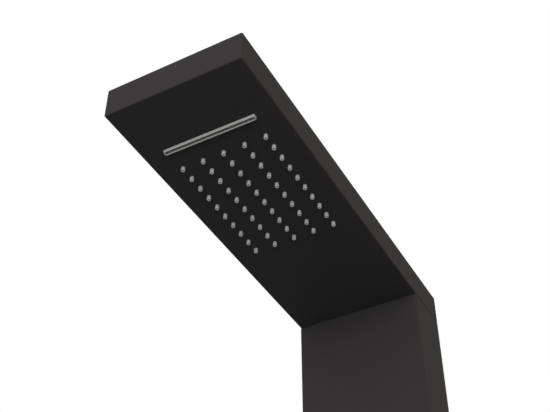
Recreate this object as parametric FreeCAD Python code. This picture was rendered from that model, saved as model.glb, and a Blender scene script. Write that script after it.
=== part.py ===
import FreeCAD, Part
import math
import os

from FreeCAD import Vector

# Millimetres. The wall is the plane y = 0 and the panel stands in front of it, towards -Y.
# The origin is midway between the two wall screws of the upper bracket, and +Z is up.

# The whole panel
PANEL_WIDTH = 150.0
PANEL_HEIGHT = 1200.0
HEAD_REACH = 470.0
HEAD_THICKNESS = 35.0
COLUMN_DEPTH = 69.0
HANG_DROP = 110.0
LOWER_HANG_RISE = 130.0
MIXER_DROP = 830.0
CONTROL_SPACING = 160.0

# Folded sheet
SHEET = 1.2
INSIDE_BEND = 0.3
SEAM_RADIUS = 1.35
RETURN_FLANGE = 14.0

# Lid of the head, its posts and its countersunk screws
LID_GAP = 0.2
LID_LIP = 8.0
POST_RADIUS = 4.0
POST_ROOM = 1.0
LID_SCREW_RADIUS = 1.5
LID_SCREW_HEAD = 2.7
LID_SCREW_LENGTH = 12.0
THREAD_FIT = 0.05

# Rain nozzles and the silicone mat that carries them
NOZZLES_ACROSS = 5
NOZZLES_ALONG = 10
NOZZLE_SIDE_INSET = 27.9
NOZZLE_PITCH_X = (PANEL_WIDTH - 2 * NOZZLE_SIDE_INSET) / (NOZZLES_ACROSS - 1)
NOZZLE_PITCH_Y = 16.35
NOZZLE_SETBACK = 95.0
NOZZLE_RADIUS = 2.2
NOZZLE_WAIST = 2.0
NOZZLE_PROJECTION = 4.6
NOZZLE_TIP_ROUND = 0.6
NOZZLE_DISH = 1.3
NOZZLE_DISH_DEPTH = 0.4
NOZZLE_ORIFICE = 0.7
NOZZLE_FUNNEL = 1.4
NOZZLE_LAND = 1.5
NOZZLE_CLEARANCE = 0.15
SEAL = 2.0

# Waterfall spout
SPOUT_LEAD = 27.2
SPOUT_SIDE_INSET = 23.7
SPOUT_LENGTH = PANEL_WIDTH - 2 * SPOUT_SIDE_INSET
SPOUT_DEPTH = 5.4
SPOUT_PROJECTION = 3.0
SPOUT_WALL = 1.0
SPOUT_FLANGE = 2.4
SPOUT_CORNER = 1.5
SPOUT_LIP = 0.4
SPOUT_CLEARANCE = 0.15

# Moulded chambers over the nozzles and the spout
CHAMBER_WALL = 2.0
CHAMBER_FLANGE = 8.0
CHAMBER_LIP = 4.0
FLANGE_THICKNESS = 2.5
CHAMBER_ROUND = 3.0
RAIN_MARGIN = 6.0
WATERFALL_ROOM = 30.0
CAVITY_MARGIN = 0.6
STUD_RADIUS = 2.0
STUD_CLEARANCE = 0.2
STUD_TIP = 1.5
STUD_END = 12.0
STUD_NUT_FLATS = 7.0
STUD_NUT_HEIGHT = 3.2

# Feed pipes, the tails they are pushed on and their clamps
PIPE_RADIUS = 6.0
PIPE_BORE = 4.0
PIPE_BEND = 45.0
PIPE_SETBACK = 20.0
PIPE_SPACING = 50.0
PIPE_FIT = 0.1
PIPE_ROOM = 1.0
TAIL_LENGTH = 24.0
TAIL_BARE = 5.0
TAIL_BORE = 2.4
CLAMP_THICKNESS = 1.0
CLAMP_WIDTH = 8.0
CLAMP_SCREW_LENGTH = 11.0
CLAMP_SCREW_RADIUS = 2.6
CLAMP_INSET = 4.0

# Passage from the column into the head, with its rubber edging
PASSAGE_MARGIN = 4.0
PASSAGE_FRONT = 6.0
PASSAGE_CORNER = 6.0
EDGING_OVERLAP = 3.0
EDGING_SKIN = 1.0

# Joint between head and column
ANGLE_LEG = 22.0
ANGLE_THICKNESS = 2.0
ANGLE_BEND = 1.0
ANGLE_END = 9.0
JOINT_BOLT_RADIUS = 2.5
JOINT_BOLT_INSET = 12.0
JOINT_HOLE_CLEARANCE = 0.2
JOINT_HEAD_RADIUS = 4.5
JOINT_HEAD_HEIGHT = 3.0
JOINT_NUT_FLATS = 8.0
JOINT_NUT_HEIGHT = 4.0

# Bottom cap
CAP_THICKNESS = 2.0
CAP_SPIGOT = 12.0
CAP_FIT = 0.2

# Wall brackets and the hanger bars that hook into them
BRACKET_SIDE_ROOM = 3.0
BRACKET_WIDTH = PANEL_WIDTH - 2 * (RETURN_FLANGE + BRACKET_SIDE_ROOM)
BRACKET_SPACING = PANEL_HEIGHT - HANG_DROP - LOWER_HANG_RISE
BRACKET_HEIGHT = 50.0
BRACKET_THICKNESS = 2.5
BRACKET_CHANNEL = 4.5
BRACKET_LIP = 15.0
BRACKET_ROUND = 6.0
WALL_HOLE_INSET = 13.0
WALL_HOLE_SPACING = BRACKET_WIDTH - 2 * WALL_HOLE_INSET
WALL_HOLE_RADIUS = 2.75
HANGER_THICKNESS = 3.0
HANGER_HEIGHT = 14.0

# Mixer body, its inlets and its cartridge
BARREL_RADIUS = 25.0
BARREL_SETBACK = 12.0
NECK_RADIUS = 21.0
NECK_LENGTH = 12.0
NECK_WALL = 2.0
NECK_SEAT = 2.0
PANEL_HOLE_CLEARANCE = 0.4
CARTRIDGE_RADIUS = 17.5
CARTRIDGE_DEPTH = 28.0
CARTRIDGE_COLLAR = 13.0
COLLAR_FRONT = 14.0
RING_NUT_LENGTH = 7.0
CARTRIDGE_FIT = 0.1
INLET_SPACING = 92.0
INLET_SETBACK = 34.0
ARM_RADIUS = 11.0
BOSS_RADIUS = 13.0
BOSS_DROP = 18.0
BOSS_RISE = 18.0
CAST_FILLET = 3.0
CAST_EDGE = 1.5
INLET_SOCKET = 11.0
INLET_SEAL = 1.5
NIPPLE_SHANK = 9.0
NIPPLE_FLATS = 24.0
NIPPLE_HEX = 8.0
NIPPLE_THREAD = 10.48
NIPPLE_LENGTH = 14.0
NIPPLE_BORE = 6.5
SOCKET_FIT = 0.2

# Mixer control: carrier, pin, stem, dome nut and lever, all about one pivot
ESCUTCHEON_RADIUS = 32.0
ESCUTCHEON_THICKNESS = 3.0
ESCUTCHEON_EDGE = 1.0
PIVOT_FRONT = 8.0
CARRIER_RADIUS = 9.85
CARRIER_BORE_FIT = 0.15
CARRIER_DEPTH = 12.0
CARRIER_FRONT = 13.0
CARRIER_FLOOR = 5.0
PIN_RADIUS = 1.5
PIN_FIT = 0.1
STEM_SIDE = 8.0
STEM_ROOM = 0.2
STEM_TAIL = 11.0
STEM_REACH = 34.0
DOME_RADIUS = 25.0
DOME_WALL = 2.5
DOME_MOUTH = 14.0
DOME_GAP = 0.5
HUB_RADIUS = 28.0
HUB_RIM = 9.0
HUB_FRONT = 38.0
HUB_EDGE = 2.0
STEM_SOCKET_FIT = 0.1
LEVER_WIDTH = 14.0
LEVER_THICKNESS = 9.0
LEVER_LENGTH = 82.0
LEVER_COVE = 8.0
LEVER_BACK_EDGE = 1.0
GRUB_RADIUS = 2.4
GRUB_LENGTH = 8.0
GRUB_FRONT = 31.0
GRUB_FIT = 0.05
PLUG_LENGTH = 6.0

# Tube between mixer and diverter
LINK_RADIUS = 7.5
LINK_BORE = 6.5
LINK_SOCKET = 10.0
LINK_BOSS_RADIUS = 12.0
LINK_BOSS_HEIGHT = 38.0
LINK_NUT_FLATS = 24.0
LINK_NUT_HEIGHT = 11.0

# Diverter
DIVERTER_RADIUS = 19.0
DIVERTER_NECK = 14.0
DIVERTER_NECK_LENGTH = 10.0
DIVERTER_BORE = 11.0
DIVERTER_BORE_DEPTH = 26.0
DIVERTER_NUT_RADIUS = 19.0
DIVERTER_NUT_LENGTH = 6.0
DIVERTER_BOSS_DROP = 34.0
MANIFOLD_RADIUS = 11.0
MANIFOLD_RISE = 14.0
MANIFOLD_END = 15.0
OUTLET_BOSS_RADIUS = 10.0
OUTLET_BOSS_HEIGHT = 30.0
TAIL_FLATS = 17.0
TAIL_HEX = 7.0
TAIL_SHANK = 6.0
TAIL_SHANK_LENGTH = 8.0
SPINDLE_RADIUS = 4.0
SPINDLE_TAIL = 20.0
SPINDLE_FRONT = 27.0
SPINDLE_FIT = 0.1
SPINDLE_FLAT = 1.0
KNOB_RADIUS = 23.0
KNOB_STANDOFF = 0.6
KNOB_FRONT = 34.0
KNOB_NUT_ROOM = 0.8
KNOB_EDGE = 2.0
KNOB_FLUTES = 24
FLUTE_RADIUS = 1.5
FLUTE_DEPTH = 1.0
POINTER_WIDTH = 1.6
POINTER_DEPTH = 0.8
POINTER_LENGTH = 12.0

# Heights and planes that follow from the sizes above
head_top = HANG_DROP
head_under = head_top - HEAD_THICKNESS
tray_floor = head_under + SHEET
lid_under = head_top - SHEET
panel_bottom = head_top - PANEL_HEIGHT
mixer_height = head_top - MIXER_DROP
diverter_height = mixer_height + CONTROL_SPACING
half_width = PANEL_WIDTH / 2
inner_half = half_width - SHEET
bend_radius = INSIDE_BEND + SHEET
post_inset = LID_GAP + SHEET + POST_RADIUS + POST_ROOM

# The chambers, from the front nozzle row backwards and from the tray's floor upwards
nozzle_front = NOZZLE_SETBACK - HEAD_REACH
nozzle_rear = nozzle_front + (NOZZLES_ALONG - 1) * NOZZLE_PITCH_Y
spout_middle = nozzle_front - SPOUT_LEAD
chamber_base = tray_floor + SEAL
clamp_outer = PIPE_RADIUS + PIPE_FIT + CLAMP_THICKNESS
rain_axis = tray_floor + clamp_outer + PIPE_ROOM
waterfall_axis = lid_under - PIPE_ROOM - clamp_outer
rain_top = waterfall_axis - clamp_outer - PIPE_ROOM
waterfall_top = lid_under - 2 * PIPE_ROOM
rain_half = (NOZZLES_ACROSS - 1) / 2 * NOZZLE_PITCH_X + RAIN_MARGIN
rain_front = nozzle_front - RAIN_MARGIN
rain_rear = nozzle_rear + RAIN_MARGIN
waterfall_half = SPOUT_LENGTH / 2 + SPOUT_FLANGE + CAVITY_MARGIN
waterfall_rear = spout_middle + SPOUT_DEPTH / 2 + SPOUT_FLANGE + CAVITY_MARGIN
waterfall_front = waterfall_rear - WATERFALL_ROOM
tail_radius = PIPE_BORE - PIPE_FIT

# The two feed pipes leave the diverter side by side: rain on the left, waterfall on the right
rain_x = -PIPE_SPACING / 2
waterfall_x = PIPE_SPACING / 2
outlet_top = diverter_height + OUTLET_BOSS_HEIGHT
tail_base = outlet_top + TAIL_HEX
pipe_start = tail_base + TAIL_BARE
rain_pipe_end = rain_rear + CHAMBER_WALL + TAIL_BARE
waterfall_pipe_end = waterfall_rear + CHAMBER_WALL + TAIL_BARE

# Passage through the head's floor
passage_half = PIPE_SPACING / 2 + PIPE_RADIUS + PASSAGE_MARGIN
passage_front = SHEET + PASSAGE_FRONT - COLUMN_DEPTH
passage_back = PIPE_RADIUS + PASSAGE_MARGIN - PIPE_SETBACK

# Inside bend of a bracket's hook, which leaves its bar flat on the seat
bracket_bend = (BRACKET_CHANNEL - HANGER_THICKNESS) / 2

# Depth of the two valve bodies behind the casing's face
barrel_depth = COLUMN_DEPTH - BARREL_SETBACK

# Inlets of the mixer, from the boss down to the end of the thread
boss_bottom = mixer_height - BOSS_DROP
seal_bottom = boss_bottom - INLET_SEAL
hex_bottom = seal_bottom - NIPPLE_HEX
thread_bottom = hex_bottom - NIPPLE_LENGTH

# Ends of the link tube
link_low = mixer_height + LINK_BOSS_HEIGHT
link_high = diverter_height - DIVERTER_BOSS_DROP


def block(x0, x1, y0, y1, z0, z1):
    """A box between two corners."""
    return Part.makeBox(x1 - x0, y1 - y0, z1 - z0, Vector(x0, y0, z0))


def rod(radius, start, end):
    """A round bar from one point to another."""
    return Part.makeCylinder(radius, (end - start).Length, start, end - start)


def tube(outer, inner, start, end):
    """A round tube from one point to another."""
    return rod(outer, start, end).cut(rod(inner, start, end))


def upright(radius, x, y, z0, z1):
    """A round bar along Z."""
    return rod(radius, Vector(x, y, z0), Vector(x, y, z1))


def hexagon(flats, x, y, z0, z1):
    """A hexagonal bar along Z, by its width across flats, with two flats facing the sides."""
    corner = flats / math.sqrt(3)
    angles = [math.radians(30 + 60 * i) for i in range(7)]
    points = [Vector(x + corner * math.cos(a), y + corner * math.sin(a), z0) for a in angles]
    return Part.Face(Part.makePolygon(points)).extrude(Vector(0, 0, z1 - z0))


def hex_nut(flats, bore, x, y, z0, z1):
    """A hexagonal nut along Z."""
    return hexagon(flats, x, y, z0, z1).cut(upright(bore, x, y, z0, z1))


def front(distance):
    """The y of a point this far in front of the casing's face, or behind it if negative."""
    return -COLUMN_DEPTH - distance


def outward(radius, near, far, height, x=0.0):
    """A round bar square to the casing's face, between two distances from that face."""
    return rod(radius, Vector(x, front(near), height), Vector(x, front(far), height))


def outward_ring(outer, inner, near, far, height):
    """A ring round a control's axis."""
    return outward(outer, near, far, height).cut(outward(inner, near, far, height))


def same(a, b):
    """Whether two coordinates are the same place."""
    return abs(a - b) < 1e-6


def midway(point, low, high):
    """Whether a point lies halfway up, as the middle of an upright edge does."""
    return same(point.z, (low + high) / 2)


def rounded(shape, radius, wanted):
    """Fillet the edges whose middle point passes a test."""
    edges = [e for e in shape.Edges if wanted(e.CenterOfMass)]
    return shape.makeFillet(radius, edges)


def folded_box(half, y0, y1, z0, z1, open_end, radius):
    """A box with every edge rounded but those of its open end."""
    return rounded(block(-half, half, y0, y1, z0, z1), radius, lambda p: not same(p.z, open_end))


def pad(half, y0, y1, z0, z1, radius):
    """A block astride the middle plane, with its upright edges rounded."""
    return rounded(block(-half, half, y0, y1, z0, z1), radius, lambda p: midway(p, z0, z1))


def spout_outline(grow, z0, z1):
    """The spout's outline, larger all round by a given amount."""
    x = SPOUT_LENGTH / 2 + grow
    y = SPOUT_DEPTH / 2 + grow
    return pad(x, spout_middle - y, spout_middle + y, z0, z1, SPOUT_CORNER + grow)


def passage_outline(grow, z0, z1):
    """The outline of the passage through the head's floor, larger all round by a given amount."""
    y0 = passage_front - grow
    y1 = passage_back + grow
    return pad(passage_half + grow, y0, y1, z0, z1, PASSAGE_CORNER + grow)


def nozzle_places():
    """The nozzle axes on the head's underside."""
    middle = (NOZZLES_ACROSS - 1) / 2
    for i in range(NOZZLES_ACROSS):
        for j in range(NOZZLES_ALONG):
            yield (i - middle) * NOZZLE_PITCH_X, nozzle_front + j * NOZZLE_PITCH_Y


def stud_places():
    """The welded studs along both sides of the chambers' flanges."""
    rain_x_place = rain_half + CHAMBER_WALL + CHAMBER_FLANGE / 2
    waterfall_x_place = waterfall_half + CHAMBER_WALL + CHAMBER_FLANGE / 2
    rain_rows = [rain_front + STUD_END, (rain_front + rain_rear) / 2, rain_rear - STUD_END]
    waterfall_rows = [waterfall_front + STUD_END / 2, waterfall_rear - STUD_END / 2]
    for side in (-1, 1):
        for y in rain_rows:
            yield side * rain_x_place, y
        for y in waterfall_rows:
            yield side * waterfall_x_place, y


def post_places():
    """The lid posts: at the four corners and behind the rain chamber."""
    x = inner_half - post_inset
    middle = rain_rear + CHAMBER_WALL + CHAMBER_LIP + POST_RADIUS + POST_ROOM
    for side in (-1, 1):
        for y in (SHEET - HEAD_REACH + post_inset, middle, -SHEET - post_inset):
            yield side * x, y


def joint_places():
    """The bolts that join the head's floor to the angles in the column."""
    x = inner_half - (ANGLE_LEG + ANGLE_THICKNESS) / 2
    ends = SHEET + ANGLE_END + JOINT_BOLT_INSET
    for side in (-1, 1):
        for y in (ends - COLUMN_DEPTH, -ends):
            yield side * x, y


# Head: folded tray and inset lid
def make_head_tray():
    tray = folded_box(half_width, -HEAD_REACH, 0, head_under, head_top, head_top, bend_radius)
    y0 = SHEET - HEAD_REACH
    tray = tray.cut(folded_box(inner_half, y0, -SHEET, tray_floor, head_top, head_top, INSIDE_BEND))
    bore = NOZZLE_RADIUS + NOZZLE_CLEARANCE
    cuts = [upright(bore, x, y, head_under, tray_floor) for x, y in nozzle_places()]
    hole = JOINT_BOLT_RADIUS + JOINT_HOLE_CLEARANCE
    cuts += [upright(hole, x, y, head_under, tray_floor) for x, y in joint_places()]
    cuts.append(spout_outline(SPOUT_CLEARANCE, head_under, tray_floor))
    cuts.append(passage_outline(0, head_under, tray_floor))
    return tray.cut(cuts)


def make_head_lid():
    half = inner_half - LID_GAP
    y0 = SHEET + LID_GAP - HEAD_REACH
    y1 = -SHEET - LID_GAP
    lip = head_top - LID_LIP
    lid = folded_box(half, y0, y1, lip, head_top, lip, bend_radius)
    lid = lid.cut(folded_box(half - SHEET, y0 + SHEET, y1 - SHEET, lip, lid_under, lip, INSIDE_BEND))
    sinks = []
    for x, y in post_places():
        shank = LID_SCREW_RADIUS + THREAD_FIT
        sinks.append(Part.makeCone(shank, LID_SCREW_HEAD + THREAD_FIT, SHEET, Vector(x, y, lid_under)))
    return lid.cut(sinks)


def make_lid_posts():
    bore = LID_SCREW_RADIUS + THREAD_FIT
    base = lid_under - LID_SCREW_LENGTH
    posts = []
    for x, y in post_places():
        post = upright(POST_RADIUS, x, y, tray_floor, lid_under)
        posts.append(post.cut(upright(bore, x, y, base, lid_under)))
    return Part.makeCompound(posts)


def make_lid_screws():
    screws = []
    for x, y in post_places():
        head = Part.makeCone(LID_SCREW_RADIUS, LID_SCREW_HEAD, SHEET, Vector(x, y, lid_under))
        shank = upright(LID_SCREW_RADIUS, x, y, head_top - LID_SCREW_LENGTH, lid_under)
        screws.append(head.fuse(shank).removeSplitter())
    return Part.makeCompound(screws)


# Rain: silicone nozzle mat and the chamber over it
def flange_block(half, y_front, y_rear, z0, z1):
    """The outline of a chamber's flange, which its seal shares."""
    reach = half + CHAMBER_WALL + CHAMBER_FLANGE
    edge = CHAMBER_WALL + CHAMBER_LIP
    return pad(reach, y_front - edge, y_rear + edge, z0, z1, CHAMBER_ROUND)


def stud_holes(z0, z1):
    """Clearance holes for every stud."""
    hole = STUD_RADIUS + STUD_CLEARANCE
    return [upright(hole, x, y, z0, z1) for x, y in stud_places()]


def make_nozzle_mat():
    tip = head_under - NOZZLE_PROJECTION
    land = tip + NOZZLE_LAND
    nub = Part.makeCone(NOZZLE_RADIUS, NOZZLE_WAIST, tray_floor - tip, Vector(0, 0, tip))
    nub = rounded(nub, NOZZLE_TIP_ROUND, lambda p: same(p.z, tip))
    dish = Part.makeCone(NOZZLE_DISH, NOZZLE_ORIFICE, NOZZLE_DISH_DEPTH, Vector(0, 0, tip))
    orifice = upright(NOZZLE_ORIFICE, 0, 0, tip + NOZZLE_DISH_DEPTH, land)
    funnel = Part.makeCone(NOZZLE_ORIFICE, NOZZLE_FUNNEL, chamber_base - land, Vector(0, 0, land))
    bore = dish.fuse([orifice, funnel])
    places = [Vector(x, y, 0) for x, y in nozzle_places()]
    mat = flange_block(rain_half, rain_front, rain_rear, tray_floor, chamber_base)
    mat = mat.fuse([nub.translated(place) for place in places]).removeSplitter()
    bores = [bore.translated(place) for place in places]
    return mat.cut(bores + stud_holes(tray_floor, chamber_base))


def chamber(half, y_front, y_rear, top, tail_x, tail_z):
    """A moulded cover with a flange, open below, and a tail for its pipe at the back."""
    wall = CHAMBER_WALL
    shell = block(-half - wall, half + wall, y_front - wall, y_rear + wall, chamber_base, top)
    shell = rounded(shell, CHAMBER_ROUND, lambda p: not same(p.z, chamber_base))
    flange_top = chamber_base + FLANGE_THICKNESS
    shell = shell.fuse(flange_block(half, y_front, y_rear, chamber_base, flange_top))
    root = Vector(tail_x, y_rear, tail_z)
    tip = Vector(tail_x, y_rear + wall + TAIL_BARE + TAIL_LENGTH, tail_z)
    shell = shell.fuse(rod(tail_radius, root, tip))
    cavity = block(-half, half, y_front, y_rear, chamber_base, top - wall)
    return shell.cut([cavity, rod(TAIL_BORE, root, tip)] + stud_holes(chamber_base, flange_top))


def make_rain_chamber():
    return chamber(rain_half, rain_front, rain_rear, rain_top, rain_x, rain_axis)


# Waterfall: moulded spout, gasket and the chamber over it
def make_waterfall_spout():
    tip = head_under - SPOUT_PROJECTION
    flange_top = tray_floor + SPOUT_WALL
    spout = spout_outline(0, tip, tray_floor)
    spout = rounded(spout, SPOUT_LIP, lambda p: same(p.z, tip))
    flange = spout_outline(SPOUT_FLANGE, tray_floor, flange_top)
    return spout.fuse(flange).cut(spout_outline(-SPOUT_WALL, tip, flange_top))


def make_waterfall_gasket():
    half = waterfall_half
    gasket = flange_block(half, waterfall_front, waterfall_rear, tray_floor, chamber_base)
    window = block(-half, half, waterfall_front, waterfall_rear, tray_floor, chamber_base)
    return gasket.cut([window] + stud_holes(tray_floor, chamber_base))


def make_waterfall_chamber():
    ends = (waterfall_front, waterfall_rear)
    return chamber(waterfall_half, *ends, waterfall_top, waterfall_x, waterfall_axis)


def make_chamber_studs():
    top = chamber_base + FLANGE_THICKNESS + STUD_NUT_HEIGHT + STUD_TIP
    return Part.makeCompound([upright(STUD_RADIUS, x, y, tray_floor, top) for x, y in stud_places()])


def make_chamber_nuts():
    base = chamber_base + FLANGE_THICKNESS
    bore = STUD_RADIUS + THREAD_FIT
    top = base + STUD_NUT_HEIGHT
    return Part.makeCompound([hex_nut(STUD_NUT_FLATS, bore, x, y, base, top) for x, y in stud_places()])


# Feed pipes from the diverter up the column and into the head
def feed_pipe(x, axis_height, y_end):
    """A pipe that rises along the wall, bends forward and runs to a chamber's tail."""
    y = -PIPE_SETBACK
    lean = PIPE_BEND * math.sqrt(0.5)
    start = Vector(x, y, pipe_start)
    rise = Vector(x, y, axis_height - PIPE_BEND)
    middle = Vector(x, y - PIPE_BEND + lean, axis_height - PIPE_BEND + lean)
    level = Vector(x, y - PIPE_BEND, axis_height)
    end = Vector(x, y_end, axis_height)
    edges = [Part.LineSegment(start, rise), Part.Arc(rise, middle, level), Part.LineSegment(level, end)]
    path = Part.Wire([e.toShape() for e in edges])
    solids = []
    for radius in (PIPE_RADIUS, PIPE_BORE):
        section = Part.Wire([Part.makeCircle(radius, start, Vector(0, 0, 1))])
        solids.append(path.makePipeShell([section], True, True))
    return solids[0].cut(solids[1])


def make_rain_pipe():
    return feed_pipe(rain_x, rain_axis, rain_pipe_end)


def make_waterfall_pipe():
    return feed_pipe(waterfall_x, waterfall_axis, waterfall_pipe_end)


def pipe_clamp(start, along, outside):
    """A band round a pipe's end, with its tightening screw on one side."""
    middle = start + along * (CLAMP_INSET + CLAMP_WIDTH / 2)
    half = along * (CLAMP_WIDTH / 2)
    band = tube(clamp_outer, PIPE_RADIUS + PIPE_FIT, middle - half, middle + half)
    across = along.cross(outside) * (CLAMP_SCREW_LENGTH / 2)
    seat = middle + outside * (clamp_outer + CLAMP_SCREW_RADIUS / 2)
    screw = rod(CLAMP_SCREW_RADIUS, seat - across, seat + across)
    return band.fuse(screw.cut(rod(clamp_outer, middle - half, middle + half)))


def make_pipe_clamps():
    up = Vector(0, 0, 1)
    back = Vector(0, 1, 0)
    left = Vector(-1, 0, 0)
    right = Vector(1, 0, 0)
    clamps = [
        pipe_clamp(Vector(rain_x, -PIPE_SETBACK, pipe_start), up, left),
        pipe_clamp(Vector(waterfall_x, -PIPE_SETBACK, pipe_start), up, right),
        pipe_clamp(Vector(rain_x, rain_pipe_end, rain_axis), back, left),
        pipe_clamp(Vector(waterfall_x, waterfall_pipe_end, waterfall_axis), back, right),
    ]
    return Part.makeCompound(clamps)


def make_passage_edging():
    z0 = head_under - EDGING_SKIN
    z1 = tray_floor + EDGING_SKIN
    edging = passage_outline(EDGING_OVERLAP, z0, z1).cut(passage_outline(-EDGING_SKIN, z0, z1))
    floor = block(-half_width, half_width, -COLUMN_DEPTH, 0, head_under, tray_floor)
    return edging.cut(floor.cut(passage_outline(0, head_under, tray_floor)))


# Column: folded channel open to the wall, its joint with the head, and its cap
def make_column_casing():
    z0 = panel_bottom + CAP_THICKNESS
    casing = pad(half_width, -COLUMN_DEPTH, 0, z0, head_under, bend_radius)
    casing = rounded(casing, SEAM_RADIUS, lambda p: same(p.z, head_under))
    hollow = pad(inner_half, SHEET - COLUMN_DEPTH, -SHEET, z0, head_under, INSIDE_BEND)
    gap = half_width - RETURN_FLANGE
    opening = block(-gap, gap, -SHEET - INSIDE_BEND, 0, z0, head_under)
    mixer_hole = outward(NECK_RADIUS + PANEL_HOLE_CLEARANCE, -SHEET, 0, mixer_height)
    diverter_hole = outward(DIVERTER_NECK + PANEL_HOLE_CLEARANCE, -SHEET, 0, diverter_height)
    return casing.cut([hollow, opening, mixer_hole, diverter_hole])


def make_joint_angles():
    y0 = SHEET + ANGLE_END - COLUMN_DEPTH
    y1 = -SHEET - ANGLE_END
    hole = JOINT_BOLT_RADIUS + JOINT_HOLE_CLEARANCE
    holes = [upright(hole, x, y, head_under - ANGLE_THICKNESS, head_under) for x, y in joint_places()]
    angles = []
    for side in (-1, 1):
        near, far = sorted((side * (inner_half - ANGLE_LEG), side * inner_half))
        leg_near, leg_far = sorted((side * (inner_half - ANGLE_THICKNESS), side * inner_half))
        flat = block(near, far, y0, y1, head_under - ANGLE_THICKNESS, head_under)
        leg = block(leg_near, leg_far, y0, y1, head_under - ANGLE_LEG, head_under)
        angle = flat.fuse(leg).removeSplitter()
        inside = inner_half - ANGLE_THICKNESS
        seat = head_under - ANGLE_THICKNESS
        angle = rounded(angle, ANGLE_BEND, lambda p: same(abs(p.x), inside) and same(p.z, seat))
        outer_bend = ANGLE_BEND + ANGLE_THICKNESS
        angle = rounded(angle, outer_bend, lambda p: same(abs(p.x), inner_half) and same(p.z, head_under))
        angles.append(angle.cut(holes))
    return Part.makeCompound(angles)


def make_joint_bolts():
    seat = head_under - ANGLE_THICKNESS
    top = tray_floor + JOINT_NUT_HEIGHT + STUD_TIP
    bolts = []
    for x, y in joint_places():
        head = upright(JOINT_HEAD_RADIUS, x, y, seat - JOINT_HEAD_HEIGHT, seat)
        head = rounded(head, JOINT_HEAD_HEIGHT / 2, lambda p: same(p.z, seat - JOINT_HEAD_HEIGHT))
        bolts.append(head.fuse(upright(JOINT_BOLT_RADIUS, x, y, seat, top)))
    return Part.makeCompound(bolts)


def make_joint_nuts():
    bore = JOINT_BOLT_RADIUS + THREAD_FIT
    top = tray_floor + JOINT_NUT_HEIGHT
    nuts = [hex_nut(JOINT_NUT_FLATS, bore, x, y, tray_floor, top) for x, y in joint_places()]
    return Part.makeCompound(nuts)


def make_bottom_cap():
    plate_top = panel_bottom + CAP_THICKNESS
    plate = pad(half_width, -COLUMN_DEPTH, 0, panel_bottom, plate_top, bend_radius)
    half = inner_half - CAP_FIT
    y0 = SHEET + CAP_FIT - COLUMN_DEPTH
    y1 = -SHEET - CAP_FIT
    spigot_top = plate_top + CAP_SPIGOT
    spigot = pad(half, y0, y1, plate_top, spigot_top, CAP_THICKNESS)
    inside = half - CAP_THICKNESS
    well = block(-inside, inside, y0 + CAP_THICKNESS, y1 - CAP_THICKNESS, plate_top, spigot_top)
    return plate.fuse(spigot.cut(well)).removeSplitter()


# Hanging: plates on the wall, folded into a hook below, and bars across the casing
def make_wall_bracket(hole_line):
    half = BRACKET_WIDTH / 2
    thick = BRACKET_THICKNESS
    top = hole_line + BRACKET_HEIGHT / 2
    bottom = hole_line - BRACKET_HEIGHT / 2
    lip_top = bottom + BRACKET_LIP
    lip_back = -thick - BRACKET_CHANNEL
    bracket = block(-half, half, -thick, 0, bottom, top)
    bracket = bracket.fuse(block(-half, half, lip_back - thick, -thick, bottom, lip_top)).removeSplitter()
    bracket = bracket.cut(block(-half, half, lip_back, -thick, bottom + thick, lip_top))
    bracket = rounded(bracket, bracket_bend, lambda p: same(p.x, 0) and same(p.z, bottom + thick))
    bracket = rounded(bracket, bracket_bend + thick, lambda p: same(p.x, 0) and same(p.z, bottom))

    def corner(p):
        """An upper corner of the plate or of its lip."""
        return same(abs(p.x), half) and (same(p.z, top) or same(p.z, lip_top))

    bracket = rounded(bracket, BRACKET_ROUND, corner)
    holes = []
    for side in (-1, 1):
        x = side * WALL_HOLE_SPACING / 2
        holes.append(rod(WALL_HOLE_RADIUS, Vector(x, -thick, hole_line), Vector(x, 0, hole_line)))
    return bracket.cut(holes)


def make_hanger(hole_line):
    seat = hole_line - BRACKET_HEIGHT / 2 + BRACKET_THICKNESS
    middle = -BRACKET_THICKNESS - BRACKET_CHANNEL / 2
    y0 = middle - HANGER_THICKNESS / 2
    y1 = middle + HANGER_THICKNESS / 2
    return block(-inner_half, inner_half, y0, y1, seat, seat + HANGER_HEIGHT)


# Mixer: brass body behind the casing, clamped to it by the dome nut
def make_mixer_body():
    y = -INLET_SETBACK
    half = INLET_SPACING / 2
    boss_top = mixer_height + BOSS_RISE
    body = outward(BARREL_RADIUS, -barrel_depth, -SHEET, mixer_height)
    arm = rod(ARM_RADIUS, Vector(-half, y, mixer_height), Vector(half, y, mixer_height))
    outlet = upright(LINK_BOSS_RADIUS, 0, y, mixer_height, link_low)
    bosses = [upright(BOSS_RADIUS, x, y, boss_bottom, boss_top) for x in (-half, half)]
    body = body.fuse([arm, outlet] + bosses).removeSplitter()

    def join(p):
        """Where an arm or the outlet meets the barrel."""
        beside = BARREL_RADIUS / 2 < abs(p.x) < BARREL_RADIUS and abs(p.z - mixer_height) < CAST_FILLET
        above = same(p.x, 0) and CAST_FILLET < p.z - mixer_height < BARREL_RADIUS
        return beside or above

    body = rounded(body, CAST_FILLET, join)
    body = rounded(body, CAST_EDGE, lambda p: same(p.y, -BARREL_SETBACK) or same(p.z, boss_top))
    body = body.fuse(outward(NECK_RADIUS, -SHEET, NECK_LENGTH, mixer_height))
    cuts = [outward(CARTRIDGE_RADIUS + CARTRIDGE_FIT, -CARTRIDGE_DEPTH, NECK_SEAT, mixer_height)]
    cuts.append(outward(NECK_RADIUS - NECK_WALL, NECK_SEAT, NECK_LENGTH, mixer_height))
    cuts.append(upright(LINK_RADIUS + SOCKET_FIT, 0, y, link_low - LINK_SOCKET, link_low))
    for x in (-half, half):
        cuts.append(upright(NIPPLE_SHANK + SOCKET_FIT, x, y, boss_bottom, boss_bottom + INLET_SOCKET))
    return body.cut(cuts)


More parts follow.
